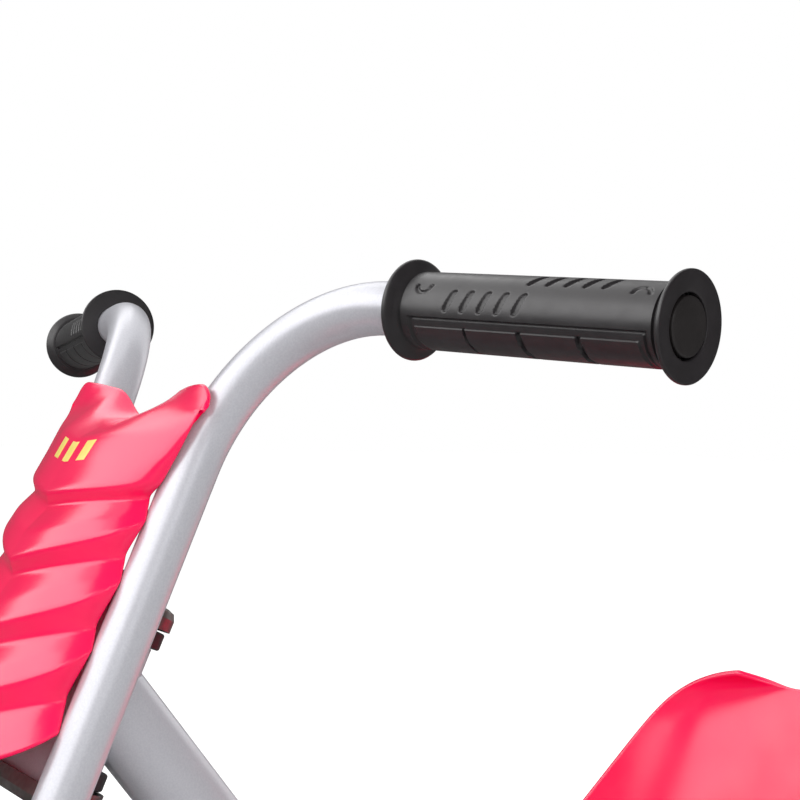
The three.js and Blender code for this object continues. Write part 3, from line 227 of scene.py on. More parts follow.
def tube(middle, tangent, side, radius, sides=48, soft=0.8):
    """A round skin about a path: middle + r (cos a side + sin a (tangent x side)), with r drawn in
    to nothing over a small rounding at both ends."""
    tangent = unit(tangent)
    start, end = middle[:1], middle[-1:]
    middle = np.concatenate([start, start, start + tangent[:1] * soft, middle[1:-1],
                             end - tangent[-1:] * soft, end, end])
    tangent = np.concatenate([tangent[:1], tangent[:1], tangent, tangent[-1:], tangent[-1:]])
    r = np.full(len(middle), float(radius))
    r[[0, -1]] = 0
    r[[1, -2]] = radius - soft
    a = np.linspace(0, 2 * np.pi, sides, endpoint=False)[None, :, None]
    other = np.cross(tangent, side)
    ring = np.cos(a) * np.broadcast_to(side, tangent.shape)[:, None] + np.sin(a) * other[:, None]
    return middle[:, None] + r[:, None, None] * ring


def bent_path(start, corner, end, radius, steps=40):
    """Straight, a round bend of this radius at the corner, and straight. In the bend, point =
    begin + radius (sin a arriving + (1 - cos a) inward), and way = cos a arriving + sin a inward.
    Gives the points, their ways and the axis of the bend."""
    start, corner, end = (np.asarray(v, float) for v in (start, corner, end))
    arriving, leaving = unit(corner - start), unit(end - corner)
    axis = unit(np.cross(arriving, leaving))
    turned_by = math.acos(arriving @ leaving)
    begin = corner - arriving * radius * math.tan(turned_by / 2)
    a = np.linspace(0, turned_by, steps + 1)[:, None]
    inward = np.cross(axis, arriving)
    bend = begin + radius * (np.sin(a) * arriving + (1 - np.cos(a)) * inward)
    heading = np.cos(a) * arriving + np.sin(a) * inward
    points = np.concatenate([start[None], bend, end[None]])
    return points, np.concatenate([arriving[None], heading, leaving[None]]), axis


elbow = bent_path([0, 0, 0], [100, 0, 0], [100, 100, 0], 40)[0]
print("a bend of 40 mm radius starts at x =", round(elbow[1, 0], 1), "in", len(elbow), "points")

# %% [markdown]
# The small hardware keeps its own solid, because its shape is right already. A copy has its
# triangles merged back into flat faces, and a narrow bevel gives the edges the glint that a
# machined or pressed edge has.

# %% Copies of the small solids
BEVEL_STEPS = 3


def dress(material, bevel, *nodes, crease=32):
    """Copies solids, merges their flat faces and rounds each edge that turns by more than crease
    degrees over a width of bevel millimetres."""
    for node in nodes:
        made = bpy.data.objects.new("finished_" + node, frame["nodes"][node].data.copy())
        bpy.context.scene.collection.objects.link(made)
        work = bmesh.new()
        work.from_mesh(made.data)
        bmesh.ops.remove_doubles(work, verts=work.verts, dist=0.003 * MM)
        bmesh.ops.dissolve_limit(
            work, angle_limit=math.radians(1), verts=work.verts, edges=work.edges
        )
        work.to_mesh(made.data)
        work.free()
        made.data.shade_smooth()
        made.data.set_sharp_from_angle(angle=math.radians(crease))
        edge = made.modifiers.new("edge", "BEVEL")
        edge.width = bevel * MM
        edge.segments = BEVEL_STEPS
        edge.limit_method = "ANGLE"
        edge.angle_limit = math.radians(crease)
        edge.harden_normals = True
        finish(made, material, frame["nodes"][node]["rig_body"], node)


print("each soft edge of a copied solid has", BEVEL_STEPS, "steps")

# %% [markdown]
# Finishes. Each starts from what the real surface is: painted tube, moulded plastic, rubber or
# plated steel. Colours are written as they look on a screen and turned to linear light by one
# function, and one small function adds each node with its settings and links.

# %% Colours and nodes
def linear(colour):
    """sRGB hex to linear: v / 12.92 up to 0.04045, and ((v + 0.055) / 1.055) ^ 2.4 above it."""
    parts = [int(colour[i : i + 2], 16) / 255 for i in (0, 2, 4)]
    return tuple(v / 12.92 if v <= 0.04045 else ((v + 0.055) / 1.055) ** 2.4 for v in parts) + (1,)


def add_node(tree, kind, settings=None, links=None):
    """Adds a node. A setting or link is named by its socket's name or number."""
    node = tree.nodes.new(kind)
    for key, value in (settings or {}).items():
        if isinstance(key, int) or key in node.inputs:
            node.inputs[key].default_value = value
        else:
            setattr(node, key, value)
    for key, socket in (links or {}).items():
        tree.links.new(socket, node.inputs[key])
    return node


print("a middle grey, 808080, is", round(linear("808080")[0], 3), "in linear light")

# %% [markdown]
# No real surface is one flat tone. Every finish here has a cloud that drifts between two close
# tones, patches that are a little smoother or rougher, and one or two fine reliefs. Image textures
# could show the same, but noise in the object's own place has no seams and a true size.

# %% A finish from noise
def new_finish(name, slot, settings, cloud, patches, reliefs):
    """Builds a whole finish from noise in the object's own coordinates.
    Colour = first tone + (second - first) times how far the cloud noise lies between low and high.
    Roughness = smooth + (rough - smooth) times how far the patch noise lies between 0.3 and 0.7.
    Each relief is a bump of size, detail, depth and strength, laid over the one before it.
    Sizes and depths are in millimetres. Returns the material, its tree, shader and place socket."""
    material = bpy.data.materials.new(name)
    material.use_nodes = True
    material["slot"] = slot
    tree = material.node_tree
    shader = tree.nodes["Principled BSDF"]
    for key, value in settings.items():
        shader.inputs[key].default_value = value
    place = add_node(tree, "ShaderNodeTexCoord").outputs["Object"]
    size, detail, low, high, first, second = cloud
    noise = add_node(tree, "ShaderNodeTexNoise", {"Scale": 1 / (size * MM), "Detail": detail},
                     {"Vector": place})
    share = add_node(tree, "ShaderNodeMapRange", {"From Min": low, "From Max": high},
                     {"Value": noise.outputs["Fac"]})
    tones = {"data_type": "RGBA", 6: linear(first), 7: linear(second)}
    colour = add_node(tree, "ShaderNodeMix", tones, {0: share.outputs["Result"]})
    tree.links.new(colour.outputs[2], shader.inputs["Base Color"])
    size, detail, smooth, rough = patches
    noise = add_node(tree, "ShaderNodeTexNoise", {"Scale": 1 / (size * MM), "Detail": detail},
                     {"Vector": place})
    spread = {"From Min": 0.3, "From Max": 0.7, "To Min": smooth, "To Max": rough}
    worn = add_node(tree, "ShaderNodeMapRange", spread, {"Value": noise.outputs["Fac"]})
    tree.links.new(worn.outputs["Result"], shader.inputs["Roughness"])
    below = {}
    for size, detail, depth, strength in reliefs:
        noise = add_node(tree, "ShaderNodeTexNoise", {"Scale": 1 / (size * MM), "Detail": detail},
                         {"Vector": place})
        bump = add_node(tree, "ShaderNodeBump", {"Strength": strength, "Distance": depth * MM},
                        {"Height": noise.outputs["Fac"], **below})
        below = {"Normal": bump.outputs["Normal"]}
        tree.links.new(bump.outputs["Normal"], shader.inputs["Normal"])
    print(name, "has", len(tree.nodes), "nodes")
    return material, tree, shader, place


# %% [markdown]
# Silver paint over steel tube. It is a clear lacquer with aluminium flake: less mirror-like than
# chrome, with a soft band of light along the tube and a faint orange peel about 2 mm across. Real
# flake is under 0.1 mm, and it is drawn at 0.4 mm so that it shows as the slightest sparkle.

# %% Silver flake paint
FLAKE = 0.4
silver_flake_paint, tree, shader, place = new_finish(
    "silver_flake_paint", "silver_paint", {"Metallic": 0.35},
    (0.9, 1, 0.3, 0.7, "CDCDD3", "C5C5CC"), (30, 2, 0.3, 0.36), [(2.2, 1, 0.05, 0.1)])
flake = add_node(tree, "ShaderNodeTexVoronoi", {"Scale": 1 / (FLAKE * MM)}, {"Vector": place})
peel = shader.inputs["Normal"].links[0].from_socket
sparkle = add_node(tree, "ShaderNodeBump", {"Strength": 0.05, "Distance": 0.01 * MM},
                   {"Height": flake.outputs["Distance"], "Normal": peel})
tree.links.new(sparkle.outputs["Normal"], shader.inputs["Normal"])
print("one flake every", FLAKE, "mm")

# %% [markdown]
# Pink body plastic. The cowl, seat and wheel centres are injection moulded and coloured right
# through. The skin is glossy, nearly a mirror at a low angle, with the slow waviness that a
# moulding gets as it shrinks. The stripes are a plain pale yellow ink, duller than the plastic.

# %% Gloss pink moulding and its yellow ink
gloss_pink_moulding = new_finish(
    "gloss_pink_moulding", "pink_plastic", {"IOR": 1.5, "Specular IOR Level": 0.95},
    (40, 2, 0.3, 0.7, "FF0056", "FC0053"), (25, 3, 0.18, 0.26),
    [(18, 1, 0.4, 0.12), (0.8, 2, 0.02, 0.05)])[0]
printed_yellow_ink = new_finish(
    "printed_yellow_ink", "", {"IOR": 1.5},
    (5, 2, 0.3, 0.7, "F6E07A", "F2D968"), (4, 2, 0.3, 0.4), [(0.6, 2, 0.02, 0.1)])[0]

# %% [markdown]
# Grip rubber. Soft moulded rubber has a fine stipple, about 0.5 mm, that spreads a highlight out.
# The rubber itself is nearly black: the grey of a grip is light lying on its satin skin.

# %% Moulded grip rubber
moulded_grip_rubber = new_finish(
    "moulded_grip_rubber", "grip_rubber", {"IOR": 1.5, "Specular IOR Level": 0.75},
    (9, 4, 0.3, 0.7, "1F1C1E", "262325"), (5, 2, 0.34, 0.42), [(0.5, 2, 0.06, 0.2)])[0]

# %% [markdown]
# Tyre rubber is duller than the grips, with pale dust in clouds. Black nylon makes the bushes,
# pedals and the knob. Its mould is spark-eroded, which leaves a texture of about 0.1 mm and a dull
# gleam, and the texture is drawn at 0.6 mm so that it shows.

# %% Tyre rubber and black nylon
tyre_compound = new_finish(
    "tyre_compound", "tyre_rubber", {"IOR": 1.5},
    (12, 5, 0.4, 0.75, "242323", "302E2D"), (6, 2, 0.62, 0.8), [(1.2, 4, 0.15, 0.3)])[0]
black_nylon = new_finish(
    "black_nylon", "black_plastic", {"IOR": 1.53},
    (15, 2, 0.3, 0.7, "1F1C1C", "252222"), (4, 2, 0.38, 0.5), [(0.6, 2, 0.05, 0.2)])[0]

# %% [markdown]
# Zinc plate is a grey metal with cloudy patches of about 6 mm, so its shine breaks up. Chrome is
# the brightest metal here. It was polished before plating, and only a slow ripple is left in it.

# %% Zinc plate and chrome
bright_zinc_plate = new_finish(
    "bright_zinc_plate", "zinc_steel", {"Metallic": 1.0},
    (6, 4, 0.3, 0.7, "A6A19E", "96918E"), (3, 3, 0.34, 0.48), [(0.7, 3, 0.04, 0.12)])[0]
polished_chrome = new_finish(
    "polished_chrome", "chrome_steel", {"Metallic": 1.0},
    (14, 3, 0.3, 0.7, "DCDEE2", "D2D4D9"), (8, 3, 0.08, 0.16), [(3, 2, 0.01, 0.05)])[0]

# %% [markdown]
# The fork's own frame: Z runs up the tubes and Y squarely back from them. Everything on the fork is
# worked out there and then leaned back by the rake, which keeps its numbers simple.

# %% The leaning frame of the fork
RAKE = math.radians(22.6)
DATUM = np.array([0, -136.81, 391.88])


def lean_back(points):
    """Turns points about X by the rake: y' = y cos + z sin, z' = z cos - y sin."""
    x, y, z = np.moveaxis(np.asarray(points, float), -1, 0)
    c, s = math.cos(RAKE), math.sin(RAKE)
    return np.stack((x, y * c + z * s, z * c - y * s), -1)


def on_fork(points):
    """Leans points back by the rake and moves them to the fork's datum."""
    return lean_back(points) + DATUM


print("the fork leans back by", round(math.degrees(RAKE), 1), "degrees")

# %% [markdown]
# Each fork tube is one length of 22.2 mm tube: straight up past the cowl, one wide bend, and out
# into the bar. A circle carried along a path with a round bend gives exactly that.

# %% The two fork tubes
TUBE, FORK_BEND = 22.2, 80
LEG_FOOT, LEG_CORNER = -240, 137.3
BAR_TO_GRIP, BAR_IN_GRIP = 92.3, 123.3
SWEEP_BACK, DROP = math.radians(13.2), math.radians(3.5)
bar_way = np.array([
    math.cos(SWEEP_BACK) * math.cos(DROP), math.sin(SWEEP_BACK) * math.cos(DROP), -math.sin(DROP)
])


def leg(z):
    """A point on the leg's middle line: x = 57.4 - 0.0224 z, so the legs draw together upwards."""
    return np.array([57.4 - 0.0224 * z, 0, z])


corner = on_fork(leg(LEG_CORNER))
grip_start = corner + bar_way * BAR_TO_GRIP
bar_end = grip_start + bar_way * BAR_IN_GRIP
points, heading, axis = bent_path(on_fork(leg(LEG_FOOT)), corner, bar_end, FORK_BEND)
left_tube = tube(points, heading, axis, TUBE / 2)
skin("fork_leg_and_bar_left", left_tube, silver_flake_paint, "steering", "fork_tube_left")
skin("fork_leg_and_bar_right", mirrored(left_tube), silver_flake_paint, "steering",
     "fork_tube_right")
print("the left grip starts at", np.round(grip_start, 1))

# %% [markdown]
# A grip is a turned sleeve with a relief pressed into it. The relief is one height function of the
# distance along the grip and the angle round it: a sunk panel that holds four raised blocks with
# slanted gaps, a row of short slanted dimples above it, and a small open ring. It repeats half a
# turn round, end for end. Cutting it with booleans would leave ragged edges in so thin a wall.

# %% The relief on a grip
GRIP, FLANGE = 31 / 2, 40.6 / 2
PANEL_TOP, PANEL_LOW = GRIP * math.radians(50.5), 43.5
PANEL_START, PANEL_END, OTHER_FACE = 10, 120.5, 130.5
BLOCK_STARTS, BLOCK_LENGTH, BLOCK_SLANT = (12.6, 38.3, 65.3, 92.3), 25, -0.06
DIMPLE_STARTS, DIMPLE_ARC, DIMPLE_SLANT = (30.5, 38.9, 47.3, 55.7, 64.1), 6.5, 0.36


def step(value, edge, soft=0.35):
    """Rises from 0 to 1 across an edge: 3 t^2 - 2 t^3, where t is the share of the soft width, in
    millimetres, that is passed."""
    t = np.clip((value - edge) / soft + 0.5, 0, 1)
    return t * t * (3 - 2 * t)


def band(value, low, high, soft=0.5):
    """1 between low and high and 0 outside: one step up times one step down."""
    return step(value, low, soft) * (1 - step(value, high, soft))


def grip_relief(along, angle):
    """Height in millimetres above the plain sleeve = raised blocks - panel - its outline - cuts -
    dimples - ring. along is 0 to 129, and angle is in degrees from the crest between the faces."""
    along, angle = np.broadcast_arrays(along, angle)
    z = np.where(angle > 0, OTHER_FACE - along, along)
    arc = GRIP * np.radians(np.abs(angle))
    panel = band(z, PANEL_START, PANEL_END) * band(arc, PANEL_TOP, PANEL_LOW)
    inside = band(z, PANEL_START + 1.3, PANEL_END - 1.3)
    outline = panel * (1 - inside * band(arc, PANEL_TOP + 1.3, PANEL_LOW - 1.3))
    slant = z + (arc - PANEL_TOP - 8) * BLOCK_SLANT
    blocks = 0
    for start in BLOCK_STARTS:
        block = band(slant, start, start + BLOCK_LENGTH, 0.4) * band(arc, PANEL_TOP + 3.9, 42, 0.6)
        blocks = np.maximum(blocks, block)
    dimples = 0
    for start in DIMPLE_STARTS:
        across = (z - start) + (arc - DIMPLE_ARC) * DIMPLE_SLANT
        reach = np.hypot(across, np.maximum(np.abs(arc - DIMPLE_ARC) - 3.2, 0))
        dimples = np.maximum(dimples, 1 - step(reach, 1.35, 0.5))
    ring = band(np.hypot(z - 15.5, arc), 3.0, 4.4, 0.5)
    cuts = band(slant, BLOCK_STARTS[0], 117) * band(arc, PANEL_TOP + 3.9, 42) * (1 - blocks)
    return (-0.6 * panel + 0.6 * blocks * panel - 0.7 * outline - 0.9 * cuts - 0.95 * dimples
            - 0.8 * ring)


dimple = grip_relief(DIMPLE_STARTS[0], -math.degrees(DIMPLE_ARC / GRIP))
print("a dimple is", round(float(-dimple), 2), "mm deep")

# %% [markdown]
# The sleeve ends in a flange at either side, with a groove where each flange meets it. The whole
# outline goes round once as a closed ring, so the bore is part of the same skin. The relief is
# added to the sleeve's rows alone, which are half a millimetre apart.

# %% The grips
SLEEVE_ROWS, GRIP_SIDES = 236, 256
SLEEVE_START, SLEEVE_END = 6.6, 122.4
crest = np.array([0.214, -0.742, 0.635])
crest = unit(crest - bar_way * (crest @ bar_way))
round_way = np.cross(crest, bar_way)
inner_end = rounded(
    [[11.3, 0], [FLANGE, 0], [FLANGE, 2.0], [GRIP + 1.4, 3.4], [GRIP - 1.4, 5.0], [GRIP - 1.4, 6.0],
     [GRIP, 6.3]], 1.0, closed=False
)
sleeve_heights = np.linspace(SLEEVE_START, SLEEVE_END, SLEEVE_ROWS)
sleeve = np.stack((np.full(SLEEVE_ROWS, GRIP), sleeve_heights), -1)
outer_end = rounded(
    [[GRIP, 122.6], [GRIP - 1.3, 123.1], [GRIP - 1.3, 124.2], [GRIP + 1.2, 124.6], [FLANGE, 127.2],
     [FLANGE, 129], [16.2, 128.6], [11.9, 128.0], [11.9, 123.5], [11.3, 123.4]], 0.9, closed=False
)
outline = np.concatenate([inner_end, sleeve, outer_end])
a = np.linspace(-np.pi, np.pi, GRIP_SIDES, endpoint=False)
height = grip_relief(outline[:, 1:2], np.degrees(a)[None])
on_sleeve = (np.abs(outline[:, :1] - GRIP) < 0.01) & (outline[:, 1:2] > 6.5)
radius = outline[:, :1] + np.where(on_sleeve, height, 0)
grip = (
    grip_start
    + bar_way * outline[:, 1, None, None]
    + radius[..., None] * (np.cos(a)[:, None] * crest + np.sin(a)[:, None] * round_way)
)
skin("rubber_grip_left", grip, moulded_grip_rubber, "steering", "grip_left", ring=True, crease=50)
skin("rubber_grip_right", mirrored(grip), moulded_grip_rubber, "steering", "grip_right", ring=True,
     crease=50)
print("relief from", round(float(height.min()), 2), "to", round(float(height.max()), 2), "mm")

# %% [markdown]
# A nylon plug closes each end of the bar. Only its round face shows, inside the outer flange, so it
# is a turned disc with a soft edge.

# %% The end plugs
def on_bar(points):
    """Stands a part turned about Z on the left bar: grip start + x crest + y round + z bar way."""
    x, y, z = np.moveaxis(points, -1, 0)[..., None]
    return grip_start + x * crest + y * round_way + z * bar_way


plug = on_bar(turn(rounded(
    [[0, 123.6], [10.9, 123.6], [10.9, 128.1], [10.2, 128.5], [0, 128.6]], 0.4, closed=False)))
skin("end_plug_left", plug, black_nylon, "steering", "bar_plug_left")
skin("end_plug_right", mirrored(plug), black_nylon, "steering", "bar_plug_right")
print("plug grid", plug.shape)

# %% [markdown]
# The cowl is a stack of skirts. Seen from the side each skirt flares to a ridge and tucks back to a
# crease, and seen from the front each ridge is a chevron. It could be sculpted, but its section is
# always half an ellipse, so a few key rows say everything. The top skirt leans back to a rolled rim
# that dips between two lobes.

# %% The cowl's key rows
EDGE, NOSE, PITCH = 12.2, 38.5, 33
NOSE_TOP, HORN_TOP, HORN_WIDTH = 77.02, 89.56, 68.8
NOSE_FOOT, HORN_FOOT, RIDGE_WIDTH = 27.5, 44.5, 57.5
CREASE_WIDTH, MIDDLE_WIDTH = 51.5, 54.5
CREASE_RISE, RIDGE_RISE = (16, 22.5, 24, 26), (32, 37, 40, 40)
top_share = np.array([1, 0.93, 0.8, 0.57, 0.3, 0.0])
key_rows = np.stack([
    NOSE_FOOT + (NOSE_TOP - NOSE_FOOT) * top_share,  # height at the nose
    HORN_FOOT + (HORN_TOP - HORN_FOOT) * top_share,  # height at the edge
    [3.9, 9.5, 21.1, 30.9, 32.8, 35.0],  # how far forward at the nose
    [12.8, 13.0, 13.8, 13.4, 12.8, EDGE],  # how far forward at the edge
    [4.6, 2.4, -2.0, -1.7, -1.4, 0],  # extra fullness half way round
    RIDGE_WIDTH + (HORN_WIDTH - RIDGE_WIDTH) * np.sin(top_share * np.pi / 2),  # half width
    top_share,  # 1 at the rim and 0 from the first crease down
], -1)
for k in range(4):
    crease = np.array([22.5, 22.5 + CREASE_RISE[k]]) - PITCH * k
    ridge = np.array([-5.5, -5.5 + RIDGE_RISE[k]]) - PITCH * k
    tuck = 7.5 if k == 0 else 5
    key_rows = np.vstack([
        key_rows,
        [*crease, NOSE - tuck, EDGE, 0, CREASE_WIDTH, 0],
        [*(crease + ridge) / 2, NOSE - 1.6, EDGE, 0, MIDDLE_WIDTH, 0],
        [*ridge, NOSE, EDGE, 0, RIDGE_WIDTH, 0],
    ])
print(len(key_rows), "key rows, from", key_rows[0, 1], "down to", round(key_rows[-1, 0], 1), "mm")

# %% [markdown]
# The rows between the key rows are filled in about a millimetre apart, and then smoothed down the
# cowl, so that ridges and creases get the soft corners of a moulding.

# %% The cowl's outer surface
def cowl_rows(rows, columns=145):
    """Point = (sin a width, -(edge + (nose - edge) cos a + full sin^2 2a), low + (high - low)
    sweep). The sweep is a chevron below, and at the top it dips between two lobes."""
    a = np.linspace(-np.pi / 2, np.pi / 2, columns)
    low, high, nose, edge, full, width, top = (rows[:, i, None] for i in range(7))
    reach = np.abs(np.sin(a))
    valley = np.sin(np.minimum(1, reach / 0.506) * np.pi / 2) ** 2.54
    chevron = (np.abs(a) / (np.pi / 2)) ** 1.1
    sweep = chevron + (0.936 * valley + 0.064 * reach - chevron) * top**3.58
    sweep = sweep - 0.343 * top**3 * np.clip((reach - 0.88) / 0.12, 0, 1) ** 2
    forward = edge + (nose - edge) * np.cos(a) ** (1 + 1.096 * top**2) + full * np.sin(2 * a) ** 2
    return np.stack((np.sin(a) * width, -forward, low + (high - low) * sweep), -1)


def smooth_down(keys, spacing=1.0, softness=1.7, pad=6):
    """Fills in rows about a spacing apart, then blends each with its neighbours by a bell curve."""
    middle = keys[:, keys.shape[1] // 2]
    along = np.concatenate([[0], np.cumsum(np.linalg.norm(np.diff(middle, axis=0), axis=1))])
    s = np.linspace(0, along[-1], int(along[-1] / spacing))
    before = np.clip(np.searchsorted(along, s, side="right") - 1, 0, len(keys) - 2)
    share = ((s - along[before]) / (along[before + 1] - along[before]))[:, None, None]
    rows = keys[before] * (1 - share) + keys[before + 1] * share
    first, last = 2 * rows[:1] - rows[pad:0:-1], 2 * rows[-1:] - rows[-2 : -pad - 2 : -1]
    rows = np.concatenate([first, rows, last])
    t = np.arange(len(rows))
    weight = np.exp(-0.5 * ((t[:, None] - t) * spacing / softness) ** 2)
    weight /= weight.sum(1, keepdims=True)
    return np.tensordot(weight, rows, 1)[pad:-pad]


cowl_sheet = smooth_down(cowl_rows(key_rows))
print("the cowl's surface has", cowl_sheet.shape[0], "rows of", cowl_sheet.shape[1], "points")

# %% [markdown]
# A moulded sheet has two skins and a half-round rim. The inner skin lies one thickness behind the
# outer one, and both run into the rim on every side, so the shell is closed without a modifier.
# Two posts behind the cowl take its screws, and each stops just under the skin.

# %% The cowl and its screw posts
WALL = 2.5
POST_ACROSS, POST_HEIGHT, POST_BACK, POST_RADIUS = 30, -46, 3.3, 5.5


def shell(sheet, thickness, rim_steps=5):
    """Outer skin = sheet, inner skin = sheet - thickness normal. Round the rim, a point is middle +
    cos t (half the way across) + sin t (thickness / 2) outwards, with t from 0 to a half turn."""
    normal = unit(np.cross(np.gradient(sheet, axis=0), np.gradient(sheet, axis=1)))
    half = -normal * thickness / 2
    middle = sheet + half
    t = np.linspace(0, np.pi, rim_steps + 2)[1:-1, None]
    last = unit(sheet[:, -1:] - sheet[:, -8:-7]) * thickness / 2
    first = unit(sheet[:, :1] - sheet[:, 7:8]) * thickness / 2
    right_rim = middle[:, -1:] - half[:, -1:] * np.cos(t) + last * np.sin(t)
    left_rim = middle[:, :1] + half[:, :1] * np.cos(t) + first * np.sin(t)
    rings = np.concatenate([sheet, right_rim, (middle + half)[:, ::-1], left_rim], 1)
    centre = np.concatenate([middle, np.repeat(middle[:, -1:], rim_steps, 1), middle[:, ::-1],
                             np.repeat(middle[:, :1], rim_steps, 1)], 1)
    t = np.linspace(0, np.pi / 2, rim_steps // 2 + 2)[1:, None, None]
    ends = []
    for row, inner_row in ((0, 1), (-1, -2)):
        out = unit(centre[row] - centre[inner_row]) * thickness / 2
        ends.append(centre[row] + (rings[row] - centre[row]) * np.cos(t) + out * np.sin(t))
    return np.concatenate([ends[0][::-1], rings, ends[1]])


skin("front_fairing", on_fork(shell(cowl_sheet, WALL)), gloss_pink_moulding, "steering",
     "front_cowl", crease=60)
for side, x in (("left", POST_ACROSS), ("right", -POST_ACROSS)):
    near = np.hypot(cowl_sheet[..., 0] - x, cowl_sheet[..., 2] - POST_HEIGHT) < 6
    reach = (-cowl_sheet[..., 1][near]).min() - 0.8
    line = [[0, POST_BACK], [POST_RADIUS, POST_BACK], [POST_RADIUS, reach], [0, reach]]
    post = turn(rounded(line, 0.4, closed=False), 40)
    post = post[..., [0, 2, 1]] * [1, -1, 1] + [x, 0, POST_HEIGHT]
    skin("cowl_boss_" + side, on_fork(post), gloss_pink_moulding, "steering")
print("the posts reach", round(float(reach), 1), "mm forward")

# %% [markdown]
# Three plain stripes are printed on the cowl's nose, above the first ridge. Each is a patch of the
# cowl's own surface, lifted by 0.15 mm, so it follows the moulding like ink.

# %% Printed stripes
STRIPE_ROW, STRIPE_COLUMNS = 42, (62, 72, 82)
LIFT, INK = 0.15, 0.2


def patch(sheet, row, column, tall, wide, points=9):
    """Surface points at row + tall u and column + wide v, with u and v from -1 to 1, each mixed
    from the four grid points round it, and lifted along the surface's normal."""
    normal = unit(np.cross(np.gradient(sheet, axis=0), np.gradient(sheet, axis=1)))
    lifted = sheet + LIFT * normal
    u, v = np.meshgrid(np.linspace(-1, 1, points), np.linspace(-1, 1, points), indexing="ij")
    r, c = row + tall * u, column + wide * v
    r0, c0 = r.astype(int), c.astype(int)
    fr, fc = (r - r0)[..., None], (c - c0)[..., None]
    near = lifted[r0, c0] * (1 - fc) + lifted[r0, c0 + 1] * fc
    far = lifted[r0 + 1, c0] * (1 - fc) + lifted[r0 + 1, c0 + 1] * fc
    return near * (1 - fr) + far * fr


for k, column in enumerate(STRIPE_COLUMNS):
    stripe = patch(cowl_sheet, STRIPE_ROW, column, 5, 2.4)
    name = f"printed_stripe_{k + 1}"
    skin(name, on_fork(shell(stripe, INK, 3)), printed_yellow_ink, "steering")
print("the last stripe is about", np.round(np.ptp(stripe.reshape(-1, 3), axis=0), 1), "mm")

# %% [markdown]
# The steering head: a turned head tube between two flanged bushes, with a pressed crown over it and
# another below. The tube and the bushes are turned anew, and the pressed crowns, the screws and the
# plates keep their solids with softened edges.

# %% The steering head
HEAD_AXIS = np.array([0, 22.5, 0])
HEAD_TOP, HEAD_LOW = -19.3, -77.3


def on_head(outline):
    """Turns an outline about the steering axis, which lies 22.5 mm behind the tubes."""
    return on_fork(turn(outline) + HEAD_AXIS)


head_line = rounded([[15.7, HEAD_LOW], [18, HEAD_LOW], [18, HEAD_TOP], [15.7, HEAD_TOP]], 0.5)
skin("steering_head_tube", on_head(head_line), silver_flake_paint, "frame", "head_tube", ring=True)
bush = rounded([[6.4, -16], [15.4, -16], [15.4, 0.3], [21.3, 0.3], [21.3, 8.3], [14, 8.3],
                [14, 16.2], [6.4, 16.2]], 1.2)
skin("head_bush_top", on_head(bush + [0, HEAD_TOP]), black_nylon, "frame", "upper_head_bush",
     ring=True)
skin("head_bush_bottom", on_head(bush * [1, -1] + [0, HEAD_LOW]), black_nylon, "frame",
     "lower_head_bush", ring=True)
dress(bright_zinc_plate, 1.4, "upper_crown", "lower_crown")
dress(bright_zinc_plate, 0.5, "kingpin_bolt", "kingpin_nut", "cowl_screw_1", "cowl_screw_2")
dress(silver_flake_paint, 0.6, "fork_web_plate", "dropout_left", "dropout_right")
dress(black_nylon, 0.3, "axle_bush_left", "axle_bush_right")

# %% [markdown]
# The front wheel has a solid tyre on a moulded wheel centre. The tread is a height function again,
# with two ring grooves and short cuts across the shoulders, because a bump alone would leave the
# tyre's outline smooth.

# %% The front tyre
AXLE = np.array([0, -237.5, 150])


def tyre(radius, depth, width, cuts, sides):
    """A closed tyre outline carried round the axle. Its tread loses 1.1 mm of height in two ring
    grooves and, where cos(cuts a + |x| / 4) is over 0.72, in cuts across the shoulders."""
    half, inner = width / 2, radius - depth
    side_line = np.array([[inner, 0.72], [inner + depth * 0.22, 0.92], [radius - depth * 0.35, 1.0],
                          [radius - depth * 0.055, 0.72], [radius, 0.35]])
    tread_line = np.stack((np.full(15, radius), np.linspace(0.33, -0.33, 15)), -1)
    line = np.concatenate([side_line, tread_line, side_line[::-1] * [1, -1]]) * [1, half]
    line = rounded(line, depth * 0.14)
    a = np.linspace(0, 2 * np.pi, sides, endpoint=False)[None]
    r, x = line[:, :1], line[:, 1:]
    outer = step(r, radius - depth * 0.3, 1.5)
    grooves = band(np.abs(x), half * 0.2, half * 0.2 + 1.6, 0.8)
    sipes = (np.cos(cuts * a + 0.25 * np.abs(x)) > 0.72) * step(np.abs(x), half * 0.42, 1)
    r = r - outer * np.maximum(grooves, sipes) * 1.1
    return np.stack((x + 0 * a, r * np.cos(a), r * np.sin(a)), -1)


front_tyre = tyre(150, 24, 44, 60, 720)
skin("front_wheel_tyre", front_tyre + AXLE, tyre_compound, "front_wheel", "front_tyre", ring=True,
     crease=60)
print("the tyre has", 2 * front_tyre.shape[0] * front_tyre.shape[1], "triangles")

# %% [markdown]
# The wheel centre is one pink moulding: a rim, a hub and five spokes. The rim and the hub are
# turned about the axle.

# %% The front wheel's rim and hub
rim_line = rounded([[114.7, -14], [118.7, -18], [125.6, -18], [125.6, 18], [118.7, 18], [114.7, 14],
                    [113.4, 8], [113.4, -8]], 2.2)
skin("front_rim_ring", along_x(turn(rim_line, 160)) + AXLE, gloss_pink_moulding, "front_wheel",
     "front_rim", ring=True)
hub_line = rounded([[7.4, -31], [22, -31], [22, -14], [33, -7], [33, 7], [22, 14], [22, 31],
                    [7.4, 31]], 2)
skin("front_hub", along_x(turn(hub_line)) + AXLE, gloss_pink_moulding, "front_wheel", ring=True)

# %% [markdown]
# Each spoke is a flat frame round an open window. Its outer and inner outlines are matched angle by
# angle from one centre, and a section with soft corners is carried round between them. That keeps
# the faces in even rows, which a hole cut with a boolean wouldn't.

